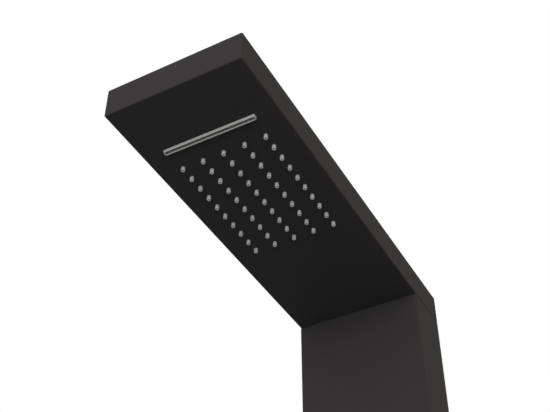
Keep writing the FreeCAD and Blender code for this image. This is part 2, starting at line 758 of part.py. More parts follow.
def inlet_nipple(x):
    """A male thread for the supply, screwed up into its boss."""
    y = -INLET_SETBACK
    nipple = hexagon(NIPPLE_FLATS, x, y, hex_bottom, seal_bottom)
    nipple = nipple.fuse(upright(NIPPLE_SHANK, x, y, seal_bottom, boss_bottom + INLET_SOCKET - SOCKET_FIT))
    nipple = nipple.fuse(upright(NIPPLE_THREAD, x, y, thread_bottom, hex_bottom))
    return nipple.cut(upright(NIPPLE_BORE, x, y, thread_bottom, boss_bottom + INLET_SOCKET))


def make_inlet_seals():
    y = -INLET_SETBACK
    seals = []
    for side in (-1, 1):
        x = side * INLET_SPACING / 2
        bore = Vector(x, y, seal_bottom)
        seals.append(tube(NIPPLE_FLATS / 2, NIPPLE_SHANK + SOCKET_FIT, bore, Vector(x, y, boss_bottom)))
    return Part.makeCompound(seals)


def make_mixer_cartridge():
    case = outward(CARTRIDGE_RADIUS, -CARTRIDGE_DEPTH, NECK_SEAT, mixer_height)
    collar = outward(CARTRIDGE_COLLAR, NECK_SEAT, COLLAR_FRONT, mixer_height)
    bore = outward(CARRIER_RADIUS + CARRIER_BORE_FIT, -CARRIER_DEPTH, COLLAR_FRONT, mixer_height)
    return case.fuse(collar).cut(bore)


def make_cartridge_ring_nut():
    outer = NECK_RADIUS - NECK_WALL - CARTRIDGE_FIT
    inner = CARTRIDGE_COLLAR + CARTRIDGE_FIT
    return outward_ring(outer, inner, NECK_SEAT, NECK_SEAT + RING_NUT_LENGTH, mixer_height)


def escutcheon(bore, height):
    """A round plate against the casing's face, with a rounded rim."""
    plate = outward(ESCUTCHEON_RADIUS, 0, ESCUTCHEON_THICKNESS, height)
    plate = rounded(plate, ESCUTCHEON_EDGE, lambda p: same(p.y, front(ESCUTCHEON_THICKNESS)))
    return plate.cut(outward(bore, 0, ESCUTCHEON_THICKNESS, height))


def make_mixer_escutcheon():
    return escutcheon(NECK_RADIUS + PANEL_HOLE_CLEARANCE, mixer_height)


def pivot():
    """The point that the lever turns and tilts about."""
    return Vector(0, front(PIVOT_FRONT), mixer_height)


def make_mixer_dome_nut():
    mouth_front = PIVOT_FRONT + math.sqrt(DOME_RADIUS ** 2 - DOME_MOUTH ** 2)
    dome = Part.makeSphere(DOME_RADIUS, pivot())
    dome = dome.common(outward(DOME_RADIUS, ESCUTCHEON_THICKNESS, mouth_front, mixer_height))
    inside = Part.makeSphere(DOME_RADIUS - DOME_WALL, pivot())
    inside = inside.common(outward(DOME_RADIUS, NECK_LENGTH, mouth_front, mixer_height))
    thread = outward(NECK_RADIUS + CARTRIDGE_FIT, ESCUTCHEON_THICKNESS, NECK_LENGTH, mixer_height)
    mouth = outward(DOME_MOUTH, NECK_LENGTH, mouth_front, mixer_height)
    return dome.cut([inside, thread, mouth])


def make_mixer_carrier():
    carrier = outward(CARRIER_RADIUS, CARTRIDGE_FIT - CARRIER_DEPTH, CARRIER_FRONT, mixer_height)
    slot = STEM_SIDE / 2 + STEM_ROOM
    floor = front(CARRIER_FLOOR - CARRIER_DEPTH)
    top = mixer_height + CARRIER_RADIUS
    carrier = carrier.cut(block(-slot, slot, front(CARRIER_FRONT), floor, top - 2 * CARRIER_RADIUS, top))
    across = Vector(CARRIER_RADIUS, 0, 0)
    return carrier.cut(rod(PIN_RADIUS, pivot() - across, pivot() + across))


def make_carrier_pin():
    across = Vector(math.sqrt(CARRIER_RADIUS ** 2 - PIN_RADIUS ** 2), 0, 0)
    return rod(PIN_RADIUS, pivot() - across, pivot() + across)


def make_mixer_stem():
    half = STEM_SIDE / 2
    y_tail = front(PIVOT_FRONT - STEM_TAIL)
    y_tip = front(PIVOT_FRONT + STEM_REACH)
    stem = block(-half, half, y_tip, y_tail, mixer_height - half, mixer_height + half)
    stem = rounded(stem, half / 2, lambda p: same(p.y, y_tail) and same(p.x, 0))
    across = Vector(half, 0, 0)
    return stem.cut(rod(PIN_RADIUS + PIN_FIT, pivot() - across, pivot() + across))


def lever_plate(y_face, y_back):
    """The hub's disc and the arm below it as one plate, with a cove on both sides where they meet."""
    half = LEVER_WIDTH / 2
    z_tip = mixer_height - LEVER_LENGTH + half
    root = mixer_height - math.sqrt(HUB_RADIUS ** 2 - half ** 2)
    disc = rod(HUB_RADIUS, Vector(0, y_face, mixer_height), Vector(0, y_back, mixer_height))
    arm = block(-half, half, y_face, y_back, z_tip, mixer_height)
    tip = rod(half, Vector(0, y_face, z_tip), Vector(0, y_back, z_tip))
    plate = disc.fuse([arm, tip]).removeSplitter()
    plate = rounded(plate, LEVER_COVE, lambda p: same(abs(p.x), half) and same(p.z, root))
    plate = rounded(plate, HUB_EDGE, lambda p: same(p.y, y_face))
    return rounded(plate, LEVER_BACK_EDGE, lambda p: same(p.y, y_back))


def make_mixer_lever():
    rim = PIVOT_FRONT + HUB_RIM
    face = PIVOT_FRONT + HUB_FRONT
    hub = outward(HUB_RADIUS, rim, face - HUB_EDGE, mixer_height)
    lever = hub.fuse(lever_plate(front(face), front(face - LEVER_THICKNESS))).removeSplitter()
    cavity = Part.makeSphere(DOME_RADIUS + DOME_GAP, pivot())
    side = STEM_SIDE / 2 + STEM_SOCKET_FIT
    socket_end = front(PIVOT_FRONT + STEM_REACH + STEM_SOCKET_FIT)
    socket = block(-side, side, socket_end, front(rim), mixer_height - side, mixer_height + side)
    y = front(PIVOT_FRONT + GRUB_FRONT)
    hole = rod(GRUB_RADIUS + GRUB_FIT, Vector(0, y, mixer_height), Vector(0, y, mixer_height + HUB_RADIUS))
    return lever.cut([cavity, socket, hole])


def make_lever_grub_screw():
    y = front(PIVOT_FRONT + GRUB_FRONT)
    base = mixer_height + STEM_SIDE / 2
    return upright(GRUB_RADIUS, 0, y, base, base + GRUB_LENGTH)


def make_lever_plug():
    y = front(PIVOT_FRONT + GRUB_FRONT)
    top = mixer_height + math.sqrt(HUB_RADIUS ** 2 - GRUB_RADIUS ** 2)
    return upright(GRUB_RADIUS, 0, y, top - PLUG_LENGTH, top)


# Link tube with its two union nuts
def make_link_tube():
    y = -INLET_SETBACK
    start = Vector(0, y, link_low - LINK_SOCKET)
    end = Vector(0, y, link_high + LINK_SOCKET)
    return tube(LINK_RADIUS, LINK_BORE, start, end)


def make_link_nuts():
    y = -INLET_SETBACK
    bore = LINK_RADIUS + SOCKET_FIT
    low = hex_nut(LINK_NUT_FLATS, bore, 0, y, link_low, link_low + LINK_NUT_HEIGHT)
    high = hex_nut(LINK_NUT_FLATS, bore, 0, y, link_high - LINK_NUT_HEIGHT, link_high)
    return Part.makeCompound([low, high])


# Diverter: feeds the rain chamber or the waterfall chamber
def make_manifold():
    """A crosswise pipe with round ends and an outlet boss on top for each feed pipe."""
    y = -PIPE_SETBACK
    end = PIPE_SPACING / 2 + MANIFOLD_END
    level = diverter_height + MANIFOLD_RISE
    manifold = rod(MANIFOLD_RADIUS, Vector(-end, y, level), Vector(end, y, level))
    manifold = rounded(manifold, CAST_FILLET, lambda p: same(abs(p.x), end))
    bosses = [upright(OUTLET_BOSS_RADIUS, x, y, level, outlet_top) for x in (rain_x, waterfall_x)]
    return manifold.fuse(bosses)


def make_diverter_body():
    body = outward(DIVERTER_RADIUS, -barrel_depth, -SHEET, diverter_height)
    inlet = upright(LINK_BOSS_RADIUS, 0, -INLET_SETBACK, link_high, diverter_height)
    body = body.fuse(inlet).removeSplitter()

    def join(p):
        """Where the inlet meets the barrel."""
        return CAST_EDGE < diverter_height - p.z < DIVERTER_RADIUS - CAST_EDGE / 2

    body = rounded(body, CAST_FILLET, join)
    neck = outward(DIVERTER_NECK, -SHEET, DIVERTER_NECK_LENGTH, diverter_height)
    cuts = [outward(DIVERTER_BORE, -DIVERTER_BORE_DEPTH, DIVERTER_NECK_LENGTH, diverter_height)]
    cuts.append(upright(LINK_RADIUS + SOCKET_FIT, 0, -INLET_SETBACK, link_high, link_high + LINK_SOCKET))
    for x in (rain_x, waterfall_x):
        socket_base = outlet_top - TAIL_SHANK_LENGTH
        cuts.append(upright(TAIL_SHANK + SOCKET_FIT, x, -PIPE_SETBACK, socket_base, outlet_top))
    return body.fuse([neck, make_manifold()]).removeSplitter().cut(cuts)


def make_pipe_tails():
    y = -PIPE_SETBACK
    tails = []
    for x in (rain_x, waterfall_x):
        tail = hexagon(TAIL_FLATS, x, y, outlet_top, tail_base)
        shank_base = outlet_top - TAIL_SHANK_LENGTH + SOCKET_FIT
        tail = tail.fuse(upright(TAIL_SHANK, x, y, shank_base, outlet_top))
        top = tail_base + TAIL_BARE + TAIL_LENGTH
        tail = tail.fuse(upright(tail_radius, x, y, tail_base, top))
        tails.append(tail.cut(upright(TAIL_BORE, x, y, shank_base, top)))
    return Part.makeCompound(tails)


def make_diverter_cartridge():
    radius = DIVERTER_BORE - CARTRIDGE_FIT
    case = outward(radius, -DIVERTER_BORE_DEPTH, DIVERTER_NECK_LENGTH, diverter_height)
    bore = SPINDLE_RADIUS + SPINDLE_FIT
    return case.cut(outward(bore, -SPINDLE_TAIL - SPINDLE_FIT, DIVERTER_NECK_LENGTH, diverter_height))


def make_diverter_clamp_nut():
    inner = DIVERTER_NECK + CARTRIDGE_FIT
    near = ESCUTCHEON_THICKNESS
    return outward_ring(DIVERTER_NUT_RADIUS, inner, near, near + DIVERTER_NUT_LENGTH, diverter_height)


def make_diverter_escutcheon():
    return escutcheon(DIVERTER_NECK + PANEL_HOLE_CLEARANCE, diverter_height)


def make_diverter_spindle():
    spindle = outward(SPINDLE_RADIUS, -SPINDLE_TAIL, SPINDLE_FRONT, diverter_height)
    r = SPINDLE_RADIUS
    top = diverter_height + r
    return spindle.cut(block(-r, r, front(SPINDLE_FRONT), front(knob_floor()), top - SPINDLE_FLAT, top))


def knob_floor():
    """How far in front of the casing the knob's recess for the clamp nut ends."""
    return ESCUTCHEON_THICKNESS + max(DIVERTER_NUT_LENGTH, DIVERTER_NECK_LENGTH) + KNOB_NUT_ROOM


def make_diverter_knob():
    near = ESCUTCHEON_THICKNESS + KNOB_STANDOFF
    knob = outward(KNOB_RADIUS, near, KNOB_FRONT, diverter_height)
    knob = rounded(knob, KNOB_EDGE, lambda p: same(p.y, front(KNOB_FRONT)))
    cuts = [outward(DIVERTER_NUT_RADIUS + KNOB_NUT_ROOM, near, knob_floor(), diverter_height)]
    bore = outward(SPINDLE_RADIUS + SPINDLE_FIT, near, SPINDLE_FRONT + SPINDLE_FIT, diverter_height)
    flat_base = diverter_height + SPINDLE_RADIUS - SPINDLE_FLAT + SPINDLE_FIT
    bore = bore.cut(block(-KNOB_RADIUS, KNOB_RADIUS, front(KNOB_FRONT), front(knob_floor()),
                          flat_base, flat_base + KNOB_RADIUS))
    cuts.append(bore)
    flute_ring = KNOB_RADIUS + FLUTE_RADIUS - FLUTE_DEPTH
    for i in range(KNOB_FLUTES):
        angle = 2 * math.pi * (i + 0.5) / KNOB_FLUTES
        flute = outward(FLUTE_RADIUS, near, KNOB_FRONT, diverter_height + flute_ring * math.cos(angle),
                        flute_ring * math.sin(angle))
        cuts.append(flute)
    top = diverter_height + KNOB_RADIUS
    half = POINTER_WIDTH / 2
    groove = front(KNOB_FRONT - POINTER_DEPTH)
    cuts.append(block(-half, half, front(KNOB_FRONT), groove, top - POINTER_LENGTH, top))
    y = front((knob_floor() + SPINDLE_FRONT) / 2)
    cuts.append(upright(GRUB_RADIUS + GRUB_FIT, 0, y, diverter_height - KNOB_RADIUS, diverter_height))
    return knob.cut(cuts)


def make_knob_grub_screw():
    y = front((knob_floor() + SPINDLE_FRONT) / 2)
    top = diverter_height - SPINDLE_RADIUS
    return upright(GRUB_RADIUS, 0, y, top - GRUB_LENGTH, top)


pieces = {
    "head_tray": make_head_tray(),
    "head_lid": make_head_lid(),
    "lid_posts": make_lid_posts(),
    "lid_screws": make_lid_screws(),
    "nozzle_mat": make_nozzle_mat(),
    "rain_chamber": make_rain_chamber(),
    "waterfall_spout": make_waterfall_spout(),
    "waterfall_gasket": make_waterfall_gasket(),
    "waterfall_chamber": make_waterfall_chamber(),
    "chamber_studs": make_chamber_studs(),
    "chamber_nuts": make_chamber_nuts(),
    "rain_pipe": make_rain_pipe(),
    "waterfall_pipe": make_waterfall_pipe(),
    "pipe_clamps": make_pipe_clamps(),
    "passage_edging": make_passage_edging(),
    "column_casing": make_column_casing(),
    "joint_angles": make_joint_angles(),
    "joint_bolts": make_joint_bolts(),
    "joint_nuts": make_joint_nuts(),
    "bottom_cap": make_bottom_cap(),
    "upper_wall_bracket": make_wall_bracket(0.0),
    "lower_wall_bracket": make_wall_bracket(-BRACKET_SPACING),
    "upper_hanger": make_hanger(0.0),
    "lower_hanger": make_hanger(-BRACKET_SPACING),
    "mixer_body": make_mixer_body(),
    "hot_inlet_nipple": inlet_nipple(-INLET_SPACING / 2),
    "cold_inlet_nipple": inlet_nipple(INLET_SPACING / 2),
    "inlet_seals": make_inlet_seals(),
    "mixer_cartridge": make_mixer_cartridge(),
    "cartridge_ring_nut": make_cartridge_ring_nut(),
    "mixer_escutcheon": make_mixer_escutcheon(),
    "mixer_dome_nut": make_mixer_dome_nut(),
    "mixer_carrier": make_mixer_carrier(),
    "carrier_pin": make_carrier_pin(),
    "mixer_stem": make_mixer_stem(),
    "mixer_lever": make_mixer_lever(),
    "lever_grub_screw": make_lever_grub_screw(),
    "lever_plug": make_lever_plug(),
    "link_tube": make_link_tube(),
    "link_nuts": make_link_nuts(),
    "diverter_body": make_diverter_body(),
    "pipe_tails": make_pipe_tails(),
    "diverter_cartridge": make_diverter_cartridge(),
    "diverter_clamp_nut": make_diverter_clamp_nut(),
    "diverter_escutcheon": make_diverter_escutcheon(),
    "diverter_spindle": make_diverter_spindle(),
    "diverter_knob": make_diverter_knob(),
    "knob_grub_screw": make_knob_grub_screw(),
}

os.makedirs("parts", exist_ok=True)
for name, shape in pieces.items():
    shape.exportStep(os.path.join("parts", name + ".step"))
    print(name, len(shape.Solids), "solids", round(shape.Volume), "mm3, valid:", shape.isValid())
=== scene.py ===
import math

import bmesh
import bpy
import numpy as np
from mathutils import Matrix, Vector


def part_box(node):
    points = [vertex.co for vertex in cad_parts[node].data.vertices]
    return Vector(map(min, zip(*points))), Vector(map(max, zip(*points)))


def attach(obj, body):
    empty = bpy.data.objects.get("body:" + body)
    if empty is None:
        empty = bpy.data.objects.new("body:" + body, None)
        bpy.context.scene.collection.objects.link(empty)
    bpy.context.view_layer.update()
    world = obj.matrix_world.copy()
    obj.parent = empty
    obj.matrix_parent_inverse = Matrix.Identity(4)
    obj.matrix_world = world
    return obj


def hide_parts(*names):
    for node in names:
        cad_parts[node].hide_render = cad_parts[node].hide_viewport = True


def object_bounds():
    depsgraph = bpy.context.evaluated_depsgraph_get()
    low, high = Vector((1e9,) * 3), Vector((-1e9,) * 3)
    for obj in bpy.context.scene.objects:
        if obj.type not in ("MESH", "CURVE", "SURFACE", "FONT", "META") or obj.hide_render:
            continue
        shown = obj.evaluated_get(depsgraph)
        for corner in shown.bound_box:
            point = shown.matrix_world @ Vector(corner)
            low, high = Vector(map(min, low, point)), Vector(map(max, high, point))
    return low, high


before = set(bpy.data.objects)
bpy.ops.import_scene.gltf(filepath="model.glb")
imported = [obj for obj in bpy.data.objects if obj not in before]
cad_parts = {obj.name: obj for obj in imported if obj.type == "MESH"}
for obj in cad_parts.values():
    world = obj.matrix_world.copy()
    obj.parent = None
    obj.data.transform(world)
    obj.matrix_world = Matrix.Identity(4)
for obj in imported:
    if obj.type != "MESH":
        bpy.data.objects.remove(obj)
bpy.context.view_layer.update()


# Viewpoint: below the head and to its right, looking up at the underside, the front edge and the
# right side, with the column running down out of the picture.
CAMERA_PLACE = (0.3720, -0.9509, -0.5985)
LOOK_UP = math.radians(41.394)
LOOK_LEFT = math.radians(28.671)
LENS_MM = 64.09
camera = bpy.data.objects.new("viewpoint", bpy.data.cameras.new("viewpoint"))
camera.data.lens = LENS_MM
camera.data.sensor_width = 36.0
camera.data.clip_start = 0.02
camera.location = CAMERA_PLACE
camera.rotation_euler = (math.pi / 2 + LOOK_UP, 0.0, LOOK_LEFT)
bpy.context.scene.collection.objects.link(camera)
bpy.context.scene.camera = camera


# Wall brackets: stainless strip folded into an upward hook, with a brushed grain along its
# length. They are screwed to the wall first, and the panel is hung on them.
def linear(hex_colour):
    """An sRGB hex colour as linear red, green, blue and alpha."""
    srgb = np.array([int(hex_colour[i:i + 2], 16) for i in (1, 3, 5)]) / 255.0
    rgb = np.where(srgb <= 0.04045, srgb / 12.92, ((srgb + 0.055) / 1.055) ** 2.4)
    return (*rgb.tolist(), 1.0)


def add(tree, kind, inputs=None, **settings):
    """Add a node. Settings are its own properties; inputs are values, or sockets to link from."""
    node = tree.nodes.new(kind)
    for key, value in settings.items():
        setattr(node, key, value)
    for key, value in (inputs or {}).items():
        if isinstance(value, bpy.types.NodeSocket):
            tree.links.new(value, node.inputs[key])
        else:
            node.inputs[key].default_value = value
    return node


def per_metre(size_mm):
    """The texture scale that makes a pattern's features this many millimetres across."""
    return 1000.0 / size_mm


def new_material(name, **sockets):
    """A material with a Principled shader set as given, its tree and its Object coordinates."""
    material = bpy.data.materials.new(name)
    material.use_nodes = True
    tree = material.node_tree
    tree.nodes.clear()
    shader = add(tree, "ShaderNodeBsdfPrincipled", sockets)
    add(tree, "ShaderNodeOutputMaterial", {"Surface": shader.outputs["BSDF"]})
    place = add(tree, "ShaderNodeTexCoord").outputs["Object"]
    return material, tree, shader, place


def new_finish(name, pattern_mm, colours, roughness, depth_mm, stretch=None, detail=2.0, **sockets):
    """A finish whose two colours, two roughnesses and bump of a given depth all follow one noise
    pattern. Its features are so many millimetres across, and a stretch below 1 draws them out along
    that axis."""
    dark, light = colours
    smooth, rough = roughness
    material, tree, shader, place = new_material(name, **sockets)
    if stretch:
        place = add(tree, "ShaderNodeMapping", {"Vector": place, "Scale": stretch}).outputs[0]
    noise = {"Vector": place, "Scale": per_metre(pattern_mm), "Detail": detail}
    pattern = add(tree, "ShaderNodeTexNoise", noise).outputs["Fac"]
    tone = add(tree, "ShaderNodeMix", {"Factor": pattern, "A": linear(dark), "B": linear(light)},
               data_type="RGBA")
    sheen = add(tree, "ShaderNodeMapRange", {"Value": pattern, "To Min": smooth, "To Max": rough})
    bump = add(tree, "ShaderNodeBump", {"Height": pattern, "Distance": depth_mm / 1000.0})
    tree.links.new(tone.outputs["Result"], shader.inputs["Base Color"])
    tree.links.new(sheen.outputs["Result"], shader.inputs["Roughness"])
    tree.links.new(bump.outputs["Normal"], shader.inputs["Normal"])
    return material


def coat(material, *names):
    """Give a finish to pieces of the construction."""
    for name in names:
        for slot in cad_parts[name].material_slots:
            slot.material = material


# Brushed stainless: fine scratches along X, drawn as noise stretched that way. They are drawn
# coarser than the real 0.05 mm so that they show.
SCRATCH_MM = 0.5
SCRATCH_LENGTH_MM = 30.0
scratch_stretch = (SCRATCH_MM / SCRATCH_LENGTH_MM, 1, 1)
brushed = new_finish("brushed stainless steel", SCRATCH_MM, ("#8f8e8b", "#b9b7b3"), (0.28, 0.46), 0.010,
                     stretch=scratch_stretch, Metallic=1.0)
coat(brushed, "upper_wall_bracket", "lower_wall_bracket")


# Column casing: one sheet folded into a channel that is open towards the wall, pierced for the
# two controls, and coated with black powder that is baked on.
# Powder coat: an even grain that scatters light almost equally and hides the sheet under it. It is
# drawn coarser than the real 0.3 mm so that it shows.
POWDER_GRAIN_MM = 1.4
powder = new_finish("matt black powder coat", POWDER_GRAIN_MM, ("#343234", "#383638"), (0.66, 0.78), 0.008,
                    **{"Specular IOR Level": 0.04})
coat(powder, "column_casing")


# Hanger bars: flat stainless bars across the casing's back, which drop into the brackets' hooks.
# Each end is joined to the casing's side wall by two short rippled fillet welds.
def quads(rows, columns):
    """The corner numbers of every cell of a grid of points that are numbered row by row."""
    first = np.arange(rows - 1)[:, None] * columns + np.arange(columns - 1)
    return np.stack((first, first + 1, first + columns + 1, first + columns), axis=-1).reshape(-1, 4)


def made(name, *grids):
    """An object from grids of points in millimetres, each (rows, columns, 3) or a stack of such
    grids. Points that meet are merged, which closes seams and poles, and faces turn outwards."""
    points = []
    faces = []
    start = 0
    for grid in grids:
        rows, columns = grid.shape[-3:-1]
        flat = grid.reshape(-1, 3) / 1000.0
        copies = start + np.arange(0, len(flat), rows * columns)
        faces.append((quads(rows, columns) + copies[:, None, None]).reshape(-1, 4))
        points.append(flat)
        start += len(flat)
    corners = np.concatenate(faces)
    mesh = bpy.data.meshes.new(name)
    mesh.vertices.add(start)
    mesh.vertices.foreach_set("co", np.concatenate(points).ravel())
    mesh.loops.add(corners.size)
    mesh.loops.foreach_set("vertex_index", corners.ravel())
    mesh.polygons.add(len(corners))
    mesh.polygons.foreach_set("loop_start", np.arange(0, corners.size, 4))
    mesh.update(calc_edges=True)
    shell = bmesh.new()
    shell.from_mesh(mesh)
    bmesh.ops.remove_doubles(shell, verts=shell.verts, dist=1e-6)
    bmesh.ops.recalc_face_normals(shell, faces=shell.faces)
    shell.to_mesh(mesh)
    shell.free()
    mesh.shade_smooth()
    mesh.set_sharp_from_angle(angle=math.radians(32.0))
    piece = bpy.data.objects.new(name, mesh)
    bpy.context.scene.collection.objects.link(piece)
    return piece


def fitted(piece, material, body, slot, *replaced):
    """Give a piece its finish and the body it moves with, and hide what it stands for. The slot is not used.
    """
    piece.data.materials.append(material)
    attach(piece, body)
    if replaced:
        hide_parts(*replaced)


def span(node):
    """The lowest and highest corners of a piece of the construction, in millimetres."""
    return [np.array(corner) * 1000.0 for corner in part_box(node)]


def whole_turn(sides):
    """The angles of a full turn in equal steps, the first one repeated at the end."""
    return np.linspace(0.0, 2 * np.pi, sides + 1)


WELD_RADIUS = 1.6
WELD_INSET = 0.7
WELD_RIPPLE = 1.4
WELD_SIDES = 12


def weld(x, y, low, high):
    """An upright bead: its radius swells by a tenth once a ripple, and shrinks to nothing at the
    ends as the square root of one minus the eighth power of the distance from the middle."""
    along = np.linspace(-1.0, 1.0, 81)[:, None]
    angle = whole_turn(WELD_SIDES)
    height = (low + high) / 2 + along * (high - low) / 2
    swell = WELD_RADIUS * (1 + 0.1 * np.cos(2 * np.pi * height / WELD_RIPPLE)) * np.sqrt(1 - along ** 8)
    bead = (x + swell * np.cos(angle), y + swell * np.sin(angle), height)
    return np.stack(np.broadcast_arrays(*bead), axis=-1)


coat(brushed, "upper_hanger", "lower_hanger")
for hanger in ("upper_hanger", "lower_hanger"):
    low, high = span(hanger)
    sides = (low[0] + WELD_INSET, high[0] - WELD_INSET)
    beads = [weld(x, y, low[2], high[2]) for x in sides for y in (low[1], high[1])]
    fitted(made(hanger.replace("hanger", "hanger_welds"), *beads), brushed, "panel", "stainless")


# Joint angles: two short folded stainless angles inside the column's top, one along each side wall.
# The head's floor lies on them and is bolted down to them.
coat(brushed, "joint_angles")


# Bottom cap: a moulded plastic lid as wide as the casing, whose spigot is pushed up into the
# casing's lower end.
# Moulded plastic: spark-eroded tool texture, a fine even pebble that makes it satin.
SPARK_MM = 0.7
plastic = new_finish("moulded black plastic", SPARK_MM, ("#2b2a2b", "#313031"), (0.48, 0.60), 0.02)
coat(plastic, "bottom_cap")


# Mixer body: a sand-cast brass barrel with two inlet arms and an outlet above, whose threaded
# neck passes out through the casing.
# Cast brass: the sand leaves a coarse, dull skin with a warm tone that varies from place to place.
CAST_MM = 1.1
cast_brass = new_finish("cast brass", CAST_MM, ("#b08a45", "#c9a55c"), (0.38, 0.55), 0.05,
                        detail=4.0, Metallic=1.0)
coat(cast_brass, "mixer_body")


# Inlet nipples: turned from hexagonal brass bar, with a half-inch pipe thread below for the
# supply. Each is screwed up into its boss against a flat rubber seal.
def rounded_line(corners, radii, steps=5, closed=False):
    """A line through corners, each rounded by an arc: from where the arc starts, r sin(t) onwards
    and r (1 - cos(t)) across, t running to the corner's turn. A closed line ends at its start."""
    corners = np.asarray(corners, float)
    onward = np.roll(corners, -1, axis=0) - corners
    if not closed:
        onward[-1] = onward[-2]
    onward /= np.linalg.norm(onward, axis=1, keepdims=True)
    before = np.roll(onward, 1, axis=0)
    if not closed:
        before[0] = onward[0]
    cross = before[:, 0] * onward[:, 1] - before[:, 1] * onward[:, 0]
    turn = np.arctan2(cross, (before * onward).sum(axis=1))
    across = np.sign(turn)[:, None] * np.stack((-before[:, 1], before[:, 0]), axis=1)
    radius = np.broadcast_to(radii, turn.shape)[:, None]
    start = corners - before * radius * np.tan(np.abs(turn) / 2)[:, None]
    t = np.abs(turn)[:, None] * np.linspace(0.0, 1.0, steps)
    forward, aside = ((radius * step)[..., None] for step in (np.sin(t), 1 - np.cos(t)))
    points = (start[:, None] + forward * before[:, None] + aside * across[:, None]).reshape(-1, 2)
    return np.concatenate((points, points[:1])) if closed else points


def rows_of(corners, radii=0.0, steps=5):
    """The radii and heights of a turned profile, as two columns."""
    return np.hsplit(rounded_line(corners, radii, steps), 2)


def lathe(angle, *stretches):
    """A turned piece about the vertical axis: stretches of rows, each with a radius at every angle
    and a height, joined in order and carried round."""
    shape = [(len(height), len(angle)) for radius, height in stretches]
    radius = np.concatenate([np.broadcast_to(s[0], size) for s, size in zip(stretches, shape)])
    height = np.concatenate([np.broadcast_to(s[1], size) for s, size in zip(stretches, shape)])
    return np.stack((radius * np.cos(angle), radius * np.sin(angle), height), axis=-1)


HEX_RIM = 0.475
HEX_SLOPE = math.tan(math.radians(30.0))


def hex_radius(flats, angle):
    """A hexagon's radius: half its flats over the cosine of the angle from the nearest flat."""
    return flats / 2 / np.cos((angle + np.pi / 6) % (np.pi / 3) - np.pi / 6)


def hexagon(flats, low, high, angle):
    """Rows of a hexagonal collar with turned ends: the smaller of the end's cone and the hexagon."""
    cone = np.linspace(HEX_RIM * flats, flats / math.sqrt(3.0), 8)[:, None]
    rise = (cone - cone[0]) * HEX_SLOPE
    radius = np.minimum(np.concatenate((cone, cone[::-1])), hex_radius(flats, angle))
    return radius, np.concatenate((low + rise, high - rise[::-1]))


def threaded(crest, depth, pitch, height, angle):
    """A rounded thread's radius: it swings by the depth once a pitch and climbs a pitch a turn."""
    return crest - depth / 2 * (1 - np.cos(2 * np.pi * height / pitch - angle))


TURN_SIDES = 72
PIPE_THREAD_PITCH = 1.814
PIPE_THREAD_DEPTH = 1.16
NIPPLE_THREAD = 14.0
NIPPLE_HEX = 8.0
NIPPLE_UNDERCUT = 1.4
NIPPLE_SHANK = 9.0
NIPPLE_BORE = 6.5
THREAD_CREST = 10.48
LEAD_IN = 0.6


def inlet_nipple(node):
    """The nipple from its lower end up: lead-in, helical thread, undercut, hexagon and shank."""
    low, high = span(node)
    angle = whole_turn(TURN_SIDES)
    height = np.linspace(0.0, NIPPLE_THREAD - NIPPLE_UNDERCUT, 100)[:, None]
    root = THREAD_CREST - PIPE_THREAD_DEPTH
    ridge = threaded(THREAD_CREST, PIPE_THREAD_DEPTH, PIPE_THREAD_PITCH, height, angle)
    hex_top = NIPPLE_THREAD + NIPPLE_HEX
    top = high[2] - low[2]
    grid = lathe(
        angle,
        (np.minimum(ridge, root - LEAD_IN + height), height),
        rows_of([(root, NIPPLE_THREAD - NIPPLE_UNDERCUT), (root, NIPPLE_THREAD)]),
        hexagon(high[0] - low[0], NIPPLE_THREAD, hex_top, angle),
        rows_of([(NIPPLE_SHANK, hex_top), (NIPPLE_SHANK, top), (NIPPLE_BORE, top), (NIPPLE_BORE, LEAD_IN),
                 (NIPPLE_BORE + LEAD_IN, 0.0), (root - LEAD_IN, 0.0)]))
    return grid + [(low[0] + high[0]) / 2, (low[1] + high[1]) / 2, low[2]]


# Turned brass: bright, with cutter marks that ring the axis, so the noise is stretched level.
CUTTER_MM = 0.6
CUTTER_LENGTH_MM = 60.0
cutter_stretch = (CUTTER_MM / CUTTER_LENGTH_MM, CUTTER_MM / CUTTER_LENGTH_MM, 1)
turned_brass = new_finish("turned brass", CUTTER_MM, ("#c39c50", "#d8b566"), (0.20, 0.34), 0.006,
                          stretch=cutter_stretch, Metallic=1.0)
for nipple in ("hot_inlet_nipple", "cold_inlet_nipple"):
    fitted(made("threaded_" + nipple, inlet_nipple(nipple)), turned_brass, "panel", "brass", nipple)


# Inlet seals: flat rubber rings, pressed between the nipples and the mixer's bosses when the
# nipples are screwed home.
# Nitrile rubber: dead black, with a dull bloom.
rubber = new_finish("black nitrile rubber", SPARK_MM, ("#1b1b1c", "#232324"), (0.60, 0.75), 0.02)
coat(rubber, "inlet_seals")


# Mixer cartridge, its carrier and its pin: a moulded cartridge that the ring nut presses into the
# barrel, a carrier that turns in it, and a steel pin across the carrier that the stem tilts on.
# Acetal: a hard, slightly waxy grey plastic.
acetal = new_finish("grey acetal", SPARK_MM, ("#8a8c8e", "#96989a"), (0.40, 0.52), 0.01)
coat(acetal, "mixer_cartridge", "mixer_carrier")
coat(turned_brass, "cartridge_ring_nut", "mixer_stem")

# Zinc plate: a pale blue-white metal skin, clouded by its passivation.
CLOUD_MM = 1.2
zinc = new_finish("zinc-plated steel", CLOUD_MM, ("#a9adb2", "#c3c7cb"), (0.28, 0.42), 0.008, Metallic=1.0)
coat(zinc, "carrier_pin", "lever_grub_screw", "knob_grub_screw")


# Escutcheons, dome nut and lever: turned and cast brass painted black. The dome nut holds the
# mixer in the casing, and the lever turns and tilts over it on the stem.
# Satin paint: smooth and a little glossier than the powder, with a faint orange peel.
PEEL_MM = 1.0
satin = new_finish("satin black paint on brass", PEEL_MM, ("#252425", "#2a292a"), (0.34, 0.42), 0.006)
coat(satin, "mixer_escutcheon", "mixer_dome_nut", "mixer_lever", "diverter_escutcheon")
coat(plastic, "lever_plug")


